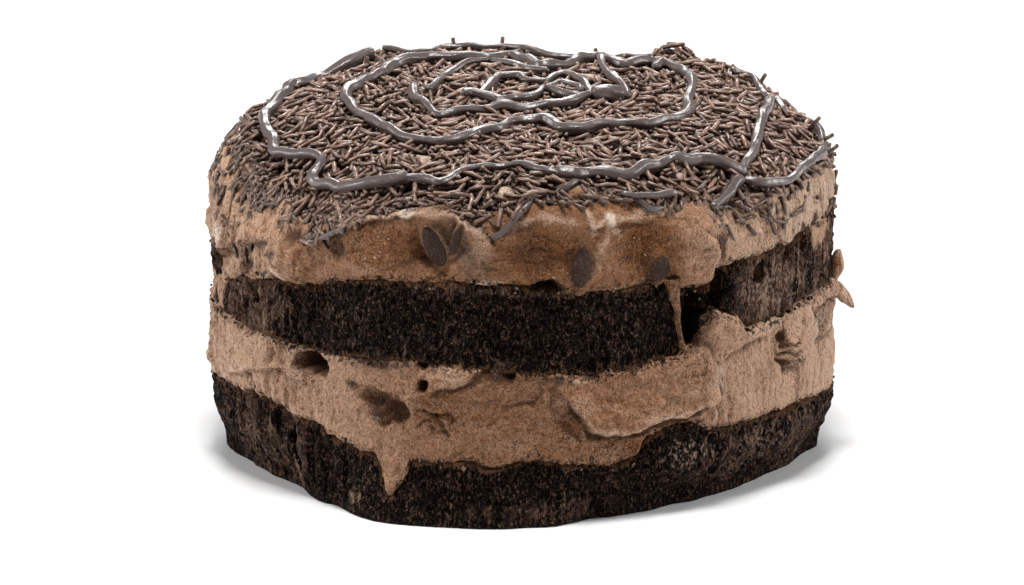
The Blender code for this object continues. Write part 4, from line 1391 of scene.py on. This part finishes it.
class Wire:
    """A value on its way through a material's nodes. Its operators add Math nodes."""

    __add__ = __radd__ = maths("ADD")
    __mul__ = __rmul__ = maths("MULTIPLY")
    __sub__ = maths("SUBTRACT")
    __rsub__ = maths("SUBTRACT", reflected=True)
    __truediv__ = maths("DIVIDE")
    __abs__ = maths("ABSOLUTE")

    def __init__(self, graph, socket):
        self.graph = graph
        self.socket = socket

    def clamp(self):
        settings = {"operation": "ADD", "use_clamp": True}
        return self.graph.add("ShaderNodeMath", settings, {0: self, 1: 0.0})


class Graph:
    """The nodes of one material."""

    def __init__(self, name):
        self.material = bpy.data.materials.new(name)
        self.material.use_nodes = True
        self.tree = self.material.node_tree
        self.shader = self.tree.nodes["Principled BSDF"]
        self.place = self.add("ShaderNodeTexCoord", output="Object")

    def add(self, kind, settings=None, sockets=None, output=0):
        """A new node of a kind, with its settings, the values or links of its sockets, and one output."""
        node = self.tree.nodes.new(kind)
        for name, value in (settings or {}).items():
            setattr(node, name, value)
        for key, value in (sockets or {}).items():
            if isinstance(value, Wire):
                self.tree.links.new(value.socket, node.inputs[key])
            else:
                node.inputs[key].default_value = value
        return Wire(self, node.outputs[output])

    def mix(self, factor, first, second):
        colours = [
            value if isinstance(value, Wire) else (*value, 1.0) for value in (first, second)
        ]
        return self.add(
            "ShaderNodeMix", {"data_type": "RGBA"}, {0: factor, 6: colours[0], 7: colours[1]}, 2,
        )

    def noise(self, size, detail=2.0, stretch=(1.0, 1.0, 1.0), roughness=0.5):
        """Noise with lumps of a size in metres, squeezed along each axis by stretch."""
        place = self.add(
            "ShaderNodeVectorMath", {"operation": "MULTIPLY"}, {0: self.place, 1: stretch},
        )
        return self.add("ShaderNodeTexNoise", None, {
            "Vector": place, "Scale": 1.0 / size, "Detail": detail, "Roughness": roughness,
        })

    def attribute(self, name, output="Fac"):
        return self.add("ShaderNodeAttribute", {"attribute_name": name}, None, output)

    def channels(self, name):
        """The four channels of a colour attribute."""
        colour = self.attribute(name, "Color")
        parts = [
            self.add("ShaderNodeSeparateColor", None, {"Color": colour}, part)
            for part in ("Red", "Green", "Blue")
        ]
        return (*parts, self.attribute(name, "Alpha"))

    def axis(self, name):
        return self.add("ShaderNodeSeparateXYZ", None, {0: self.place}, name)

    def bump(self, height, strength, distance):
        return self.add("ShaderNodeBump", None, {
            "Height": height, "Strength": strength, "Distance": distance,
        })

    def finish(self, colour, roughness, normal, **uniform):
        for name, value in (("Base Color", colour), ("Roughness", roughness), ("Normal", normal)):
            self.tree.links.new(value.socket, self.shader.inputs[name])
        for name, value in uniform.items():
            self.shader.inputs[name.replace("_", " ")].default_value = value
        return self.material


def step_up(value, low, high):
    """0 below low and 1 above high."""
    return ((value - low) / (high - low)).clamp()


def cream_material():
    """Chocolate ice cream: mottled, streaked up its ends, and coloured by its painted patches, some of which
    are painted shade and highlight.
    """
    finish = bpy.context.scene.cake_finish
    graph = Graph("ice_cream")
    pale, brown, rich, grey = graph.channels("paint")
    edge = graph.attribute("edge")
    ends = step_up(abs(graph.axis("X")), 0.046, 0.074)
    mottle = graph.noise(0.009, 3.0, (1.0, 1.0, 1.5))
    strokes = graph.noise(0.0034, 3.0, (0.4, 0.4, 1.5))
    streaks = graph.noise(0.0016, 3.0, (1.0, 1.0, 0.10))
    lumps = graph.noise(0.0013, 2.0, (1.0, 1.0, 0.8), 0.6)
    grains = graph.noise(0.00055, 2.0, (1.0, 1.0, 1.0), 0.65)
    flecks = graph.noise(0.0011, 2.0)
    front = 1.0 - ends
    # Paler where the pale paint lies, which includes painted highlight on lips and ridges.
    palest_and_highlight = pale * (0.5 + mottle * 1.0) + (streaks - 0.5) * ends * 1.9 + (strokes - 0.5) * 0.8
    drags = graph.noise(0.0042, 3.0, (1.0, 1.0, 0.22))
    palest_and_highlight = palest_and_highlight + (lumps - 0.5) * 1.0 + step_up(1.0 - grains, 0.5, 0.66) * 0.3 - 0.08
    palest_and_highlight = palest_and_highlight + (drags - 0.5) * ends * 2.2
    colour = graph.mix(rich.clamp(), finish.cream, finish.cream_rich)
    colour = graph.mix((grey * 0.85).clamp(), colour, finish.cream_grey)
    colour = graph.mix(palest_and_highlight.clamp(), colour, finish.pale_cream_and_highlight)
    # Browner cream marks, and painted shade in hollows, in grooves and under folds where the brown paint
    # lies.
    darkest_and_shade = (brown * 1.15 + (mottle - 0.55) * 0.7 * front).clamp()
    darkest_and_shade = darkest_and_shade + step_up(strokes, 0.56, 0.74) * 0.35 * front
    darkest_and_shade = darkest_and_shade + step_up(1.0 - lumps, 0.54, 0.70) * 0.30
    darkest_and_shade = darkest_and_shade + step_up(grains, 0.50, 0.62) * (0.46 + rich * 0.40)
    darkest_and_shade = darkest_and_shade + step_up(1.0 - streaks, 0.56, 0.72) * ends * 0.42
    darkest_and_shade = darkest_and_shade + step_up(1.0 - drags, 0.55, 0.75) * ends * 0.55
    # Whitish where the pale paint is strongest; on lips and ridges and at -168 degrees this is painted
    # highlight.
    colour = graph.mix(step_up(pale, 1.15, 2.0), colour, WHITISH_CREAM_AND_HIGHLIGHT)
    colour = graph.mix(darkest_and_shade.clamp(), colour, finish.dark_cream_and_shade)
    # Painted shade: near-black under the sprinkles, under the middle sponge and in the deepest hollows.
    colour = graph.mix(step_up(brown, 1.6, 2.2), colour, DEEP_SHADE)
    crumb = step_up(flecks, 0.50, 0.56) * step_up(edge + (mottle - 0.5), 0.30, 0.75)
    colour = graph.mix(crumb * 0.9, colour, finish.sponge)
    ice = step_up(graph.noise(0.0010, 1.0), 0.71, 0.75) * (rich + grey * 0.6) * 0.6
    colour = graph.mix(ice.clamp(), colour, ICE)
    roughness = (0.48 + (mottle - 0.5) * 0.35 + grains * 0.12 - ice * 0.2).clamp()
    height = strokes * 0.5 + lumps * 0.7 - grains * (0.5 + rich * 0.3) + streaks * ends * 0.9
    normal = graph.bump(height, 1.0, 0.0014)
    return graph.finish(colour, roughness, normal, Specular_IOR_Level=0.24)


def sponge_material():
    """Dark sponge, nearly black between lighter crumbs: the black is painted shade in the pores, and the
    crumbs are partly painted highlight.
    """
    finish = bpy.context.scene.cake_finish
    graph = Graph("sponge")
    pale, brown, rich, frost = graph.channels("paint")
    crumb = graph.noise(0.0010, 2.0, (1.0, 1.0, 0.6), 0.6)
    fine = graph.noise(0.00045, 1.0, (1.0, 1.0, 0.7))
    patch = graph.noise(0.011, 2.0)
    edge = graph.attribute("edge")
    streaks = graph.noise(0.0020, 3.0, (1.0, 1.0, 0.2), 0.6)
    # Lighter crumbs where the bump rises, partly painted highlight.
    light = step_up(crumb, 0.52, 0.62) * (0.22 + step_up(patch, 0.3, 0.7) * 0.45 + rich * 0.9)
    light = light * (0.35 + step_up(fine, 0.45, 0.60)) + step_up(fine, 0.60, 0.68) * 0.35
    # Painted shade: spots that darken the ground and the crumbs, standing for shade in the pores.
    holes = graph.noise(0.0036, 1.0, (1.0, 1.0, 0.28))
    pore_shade = step_up(holes, 0.53, 0.62)
    body = graph.mix((rich * 0.42 - pore_shade).clamp(), finish.sponge, RICH_SPONGE)
    colour = graph.mix((light - pore_shade * rich * 0.6).clamp(), body, finish.sponge_crumb)
    dusted = step_up(streaks, 0.50, 0.64) * (rich * 0.36 - pore_shade * 0.5)
    dusted = dusted + step_up(crumb, 0.5, 0.62) * frost * 0.9
    colour = graph.mix(dusted.clamp(), colour, SPONGE_DUST)
    rim = step_up(edge + (crumb - 0.5) * 2.2 + (patch - 0.5) * 1.2, 0.62, 1.0)
    colour = graph.mix(rim * 0.7, colour, SOAKED_SPONGE)
    smeared = step_up(pale + (streaks - 0.5) * 1.6, 0.25, 0.7)
    colour = graph.mix(smeared, colour, finish.pale_cream_and_highlight)
    # Painted shade in the hollows of the sponge, where the brown paint lies.
    colour = graph.mix(step_up(brown + (crumb - 0.5) * 0.8, 0.3, 0.8), colour, finish.dark_cream_and_shade)
    roughness = (0.66 + (crumb - 0.5) * 0.4).clamp()
    normal = graph.bump(crumb + fine * 0.5, 1.0, 0.0024)
    return graph.finish(colour, roughness, normal, Specular_IOR_Level=0.05)


def sprinkle_material():
    """Brown sprinkles, each a little lighter or darker, and darker low in the heap and underneath as painted
    shade, with a satin face.
    """
    finish = bpy.context.scene.cake_finish
    graph = Graph("sprinkles")
    shade = graph.attribute("shade")
    grainy = graph.noise(0.0007, 2.0)
    base = tuple(finish.sprinkle)
    dark = tuple(value * 0.10 for value in base)
    pale = tuple(min(1.0, value * 2.15) for value in base)
    # The shade attribute carries random tone and painted shade: the lower layers and the underside of each
    # sprinkle come out darker.
    colour = graph.mix(shade, dark, pale)
    colour = graph.mix(step_up(grainy, 0.55, 0.75) * 0.25, colour, pale)
    roughness = 0.24 + grainy * 0.2
    normal = graph.bump(grainy, 0.3, 0.0003)
    return graph.finish(
        colour, roughness, normal, Specular_IOR_Level=0.60, Specular_Tint=SPRINKLE_SHEEN,
    )


def drizzle_material():
    """Dark drizzle with a soft gloss and fine ripples."""
    finish = bpy.context.scene.cake_finish
    graph = Graph("drizzle")
    ripple = graph.noise(0.0018, 2.0)
    fine = graph.noise(0.0006, 2.0)
    base = tuple(finish.drizzle)
    pale = tuple(value * 1.6 for value in base)
    colour = graph.mix(ripple, base, pale)
    roughness = 0.22 + ripple * 0.20
    normal = graph.bump(ripple + fine * 0.2, 0.35, 0.0006)
    return graph.finish(colour, roughness, normal, Specular_IOR_Level=0.55)


def chip_material():
    """Dark chips, dull, with a grey bloom and fine grains of ice."""
    finish = bpy.context.scene.cake_finish
    graph = Graph("chips")
    bloom = graph.noise(0.0016, 3.0, (1.0, 1.0, 1.0), 0.7)
    grains = graph.noise(0.0005, 2.0)
    colour = graph.mix(step_up(bloom, 0.45, 0.75) * 0.7, finish.chip, CHIP_BLOOM)
    colour = graph.mix(step_up(grains, 0.60, 0.70) * 0.5, colour, CHIP_GRAINS)
    roughness = 0.62 + bloom * 0.25
    normal = graph.bump(bloom + grains * 0.5, 0.8, 0.0009)
    return graph.finish(colour, roughness, normal, Specular_IOR_Level=0.12)


def floor_material():
    graph = Graph("floor")
    tone = graph.noise(0.4, 1.0)
    colour = graph.mix(tone, FLOOR_DARK, FLOOR_PALE)
    roughness = 0.7 + tone * 0.1
    normal = graph.bump(tone, 0.0, 0.001)
    return graph.finish(colour, roughness, normal, Specular_IOR_Level=0.2)


# Operators


class CAKE_OT_sponge(bpy.types.Operator):
    """Build the two rounds of sponge"""

    bl_idname = "cake.sponge"
    bl_label = "Sponge"

    def execute(self, context):
        material = sponge_material()
        build_sponge(
            "sponge_bottom_round", None, LOWER_SPONGE_TOP, BOTTOM_PAINT, "sponge_bottom", material,
        )
        build_sponge(
            "sponge_middle_round", MIDDLE_SPONGE_FOOT, MIDDLE_SPONGE_TOP, MIDDLE_PAINT,
            "sponge_middle", material,
        )
        return {"FINISHED"}


class CAKE_OT_ice_cream(bpy.types.Operator):
    """Build the two layers of ice cream"""

    bl_idname = "cake.ice_cream"
    bl_label = "Ice cream"

    def execute(self, context):
        material = cream_material()
        build_lower_cream(material)
        build_upper_cream(material)
        return {"FINISHED"}


class CAKE_OT_chips(bpy.types.Operator):
    """Give the chocolate chips their finish"""

    bl_idname = "cake.chips"
    bl_label = "Chips"

    def execute(self, context):
        material = chip_material()
        for name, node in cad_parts.items():
            if name.startswith("chocolate_chip"):
                node.data.materials.clear()
                node.data.materials.append(material)
        return {"FINISHED"}


class CAKE_OT_topping(bpy.types.Operator):
    """Lay the sprinkles, then the drizzle over them"""

    bl_idname = "cake.topping"
    bl_label = "Sprinkles and drizzle"

    def execute(self, context):
        draw = random.Random(TOPPING_SEED)
        heap = Heap()
        rods = lay_heap(heap, draw) + lay_strays(draw)
        new_piece("sprinkles", join_rods("sprinkles", rods), sprinkle_material(), "sprinkles")
        joined = bmesh.new()
        routes = [(diameter, top_route(diameter, points, heap)) for diameter, points in DRIZZLE]
        routes += [(diameter, edge_route(diameter, points)) for diameter, points in EDGE_STRANDS]
        for index, (diameter, route) in enumerate(routes):
            joined.from_mesh(strand_mesh(index, diameter, route))
        bmesh.ops.remove_doubles(joined, verts=joined.verts, dist=SEAM)
        bmesh.ops.recalc_face_normals(joined, faces=joined.faces)
        new_piece("drizzle", finish_mesh(joined, "drizzle"), drizzle_material(), "drizzle")
        return {"FINISHED"}


class CAKE_OT_scraps(bpy.types.Operator):
    """Add the loose crumbs and the lumps of ice cream at the right"""

    bl_idname = "cake.scraps"
    bl_label = "Crumbs and lumps"

    def execute(self, context):
        noise.seed_set(NOISE_SEED)
        crumbs = finish_mesh(scatter_crumbs(random.Random(CRUMB_SEED)), "crumbs")
        new_piece("crumbs", crumbs, sponge_material(), "sponge")
        cream = cream_material()
        new_piece("lumps", lumps_mesh(), cream, "ice_cream")
        new_piece("pillar", pillar_mesh(), cream, "ice_cream")
        return {"FINISHED"}


class CAKE_OT_stage(bpy.types.Operator):
    """Set the floor, the lights and the camera"""

    bl_idname = "cake.stage"
    bl_label = "Stage"

    def execute(self, context):
        stage = context.scene.cake_stage
        floor = bmesh.new()
        bmesh.ops.create_grid(floor, x_segments=1, y_segments=1, size=FLOOR_HALF)
        bmesh.ops.translate(floor, verts=floor.verts, vec=(0, 0, -FLOOR_DROP))
        ground = linked("floor", finish_mesh(floor, "floor", False))
        ground.data.materials.append(floor_material())
        aim = Vector([value * MM for value in AIM])
        for name, place, size, power in LIGHTS:
            lamp = bpy.data.lights.new(name, "AREA")
            lamp.size = size
            lamp.energy = power
            item = linked(name, lamp)
            item.location = place
            item.rotation_euler = (Vector(place) - aim).to_track_quat("Z", "Y").to_euler()
        world = bpy.data.worlds.new("studio")
        world.use_nodes = True
        world.node_tree.nodes["Background"].inputs["Color"].default_value = (1, 1, 1, 1)
        world.node_tree.nodes["Background"].inputs["Strength"].default_value = FILL
        context.scene.world = world
        back = Vector((0.0, -math.cos(stage.elevation), math.sin(stage.elevation)))
        camera = bpy.data.cameras.new("camera")
        camera.sensor_width = 36.0
        camera.lens = camera.sensor_width * stage.distance / stage.view_width
        camera.clip_start = 0.1
        camera.clip_end = 20.0
        viewer = linked("camera", camera)
        viewer.location = aim + back * stage.distance
        viewer.rotation_euler = back.to_track_quat("Z", "Y").to_euler()
        context.scene.camera = viewer
        context.scene.view_settings.view_transform = "Standard"
        return {"FINISHED"}


class CAKE_PT_panel(bpy.types.Panel):
    """The steps that build the cake"""

    bl_idname = "CAKE_PT_panel"
    bl_label = "Ice Cream Cake"
    bl_space_type = "VIEW_3D"
    bl_region_type = "UI"
    bl_category = "Cake"

    def draw(self, context):
        for step in STEPS:
            self.layout.operator(step.bl_idname)
        for group in GROUPS:
            settings = getattr(context.scene, group)
            box = self.layout.box()
            for name in settings.__annotations__:
                box.prop(settings, name)


STEPS = (
    CAKE_OT_stage, CAKE_OT_sponge, CAKE_OT_ice_cream, CAKE_OT_chips, CAKE_OT_topping,
    CAKE_OT_scraps,
)
GROUPS = {
    "cake_shape": CakeShape,
    "cake_finish": CakeFinish,
    "cake_topping": CakeTopping,
    "cake_stage": CakeStage,
}


def register():
    for group in GROUPS.values():
        bpy.utils.register_class(group)
    for name, group in GROUPS.items():
        setattr(bpy.types.Scene, name, bpy.props.PointerProperty(type=group))
    for item in (*STEPS, CAKE_PT_panel):
        bpy.utils.register_class(item)


def unregister():
    for item in reversed((*STEPS, CAKE_PT_panel)):
        bpy.utils.unregister_class(item)
    for name, group in GROUPS.items():
        delattr(bpy.types.Scene, name)
        bpy.utils.unregister_class(group)


def main():
    register()
    bpy.ops.cake.stage()
    bpy.ops.cake.sponge()
    bpy.ops.cake.ice_cream()
    bpy.ops.cake.chips()
    bpy.ops.cake.topping()
    bpy.ops.cake.scraps()


if __name__ == "__main__":
    main()
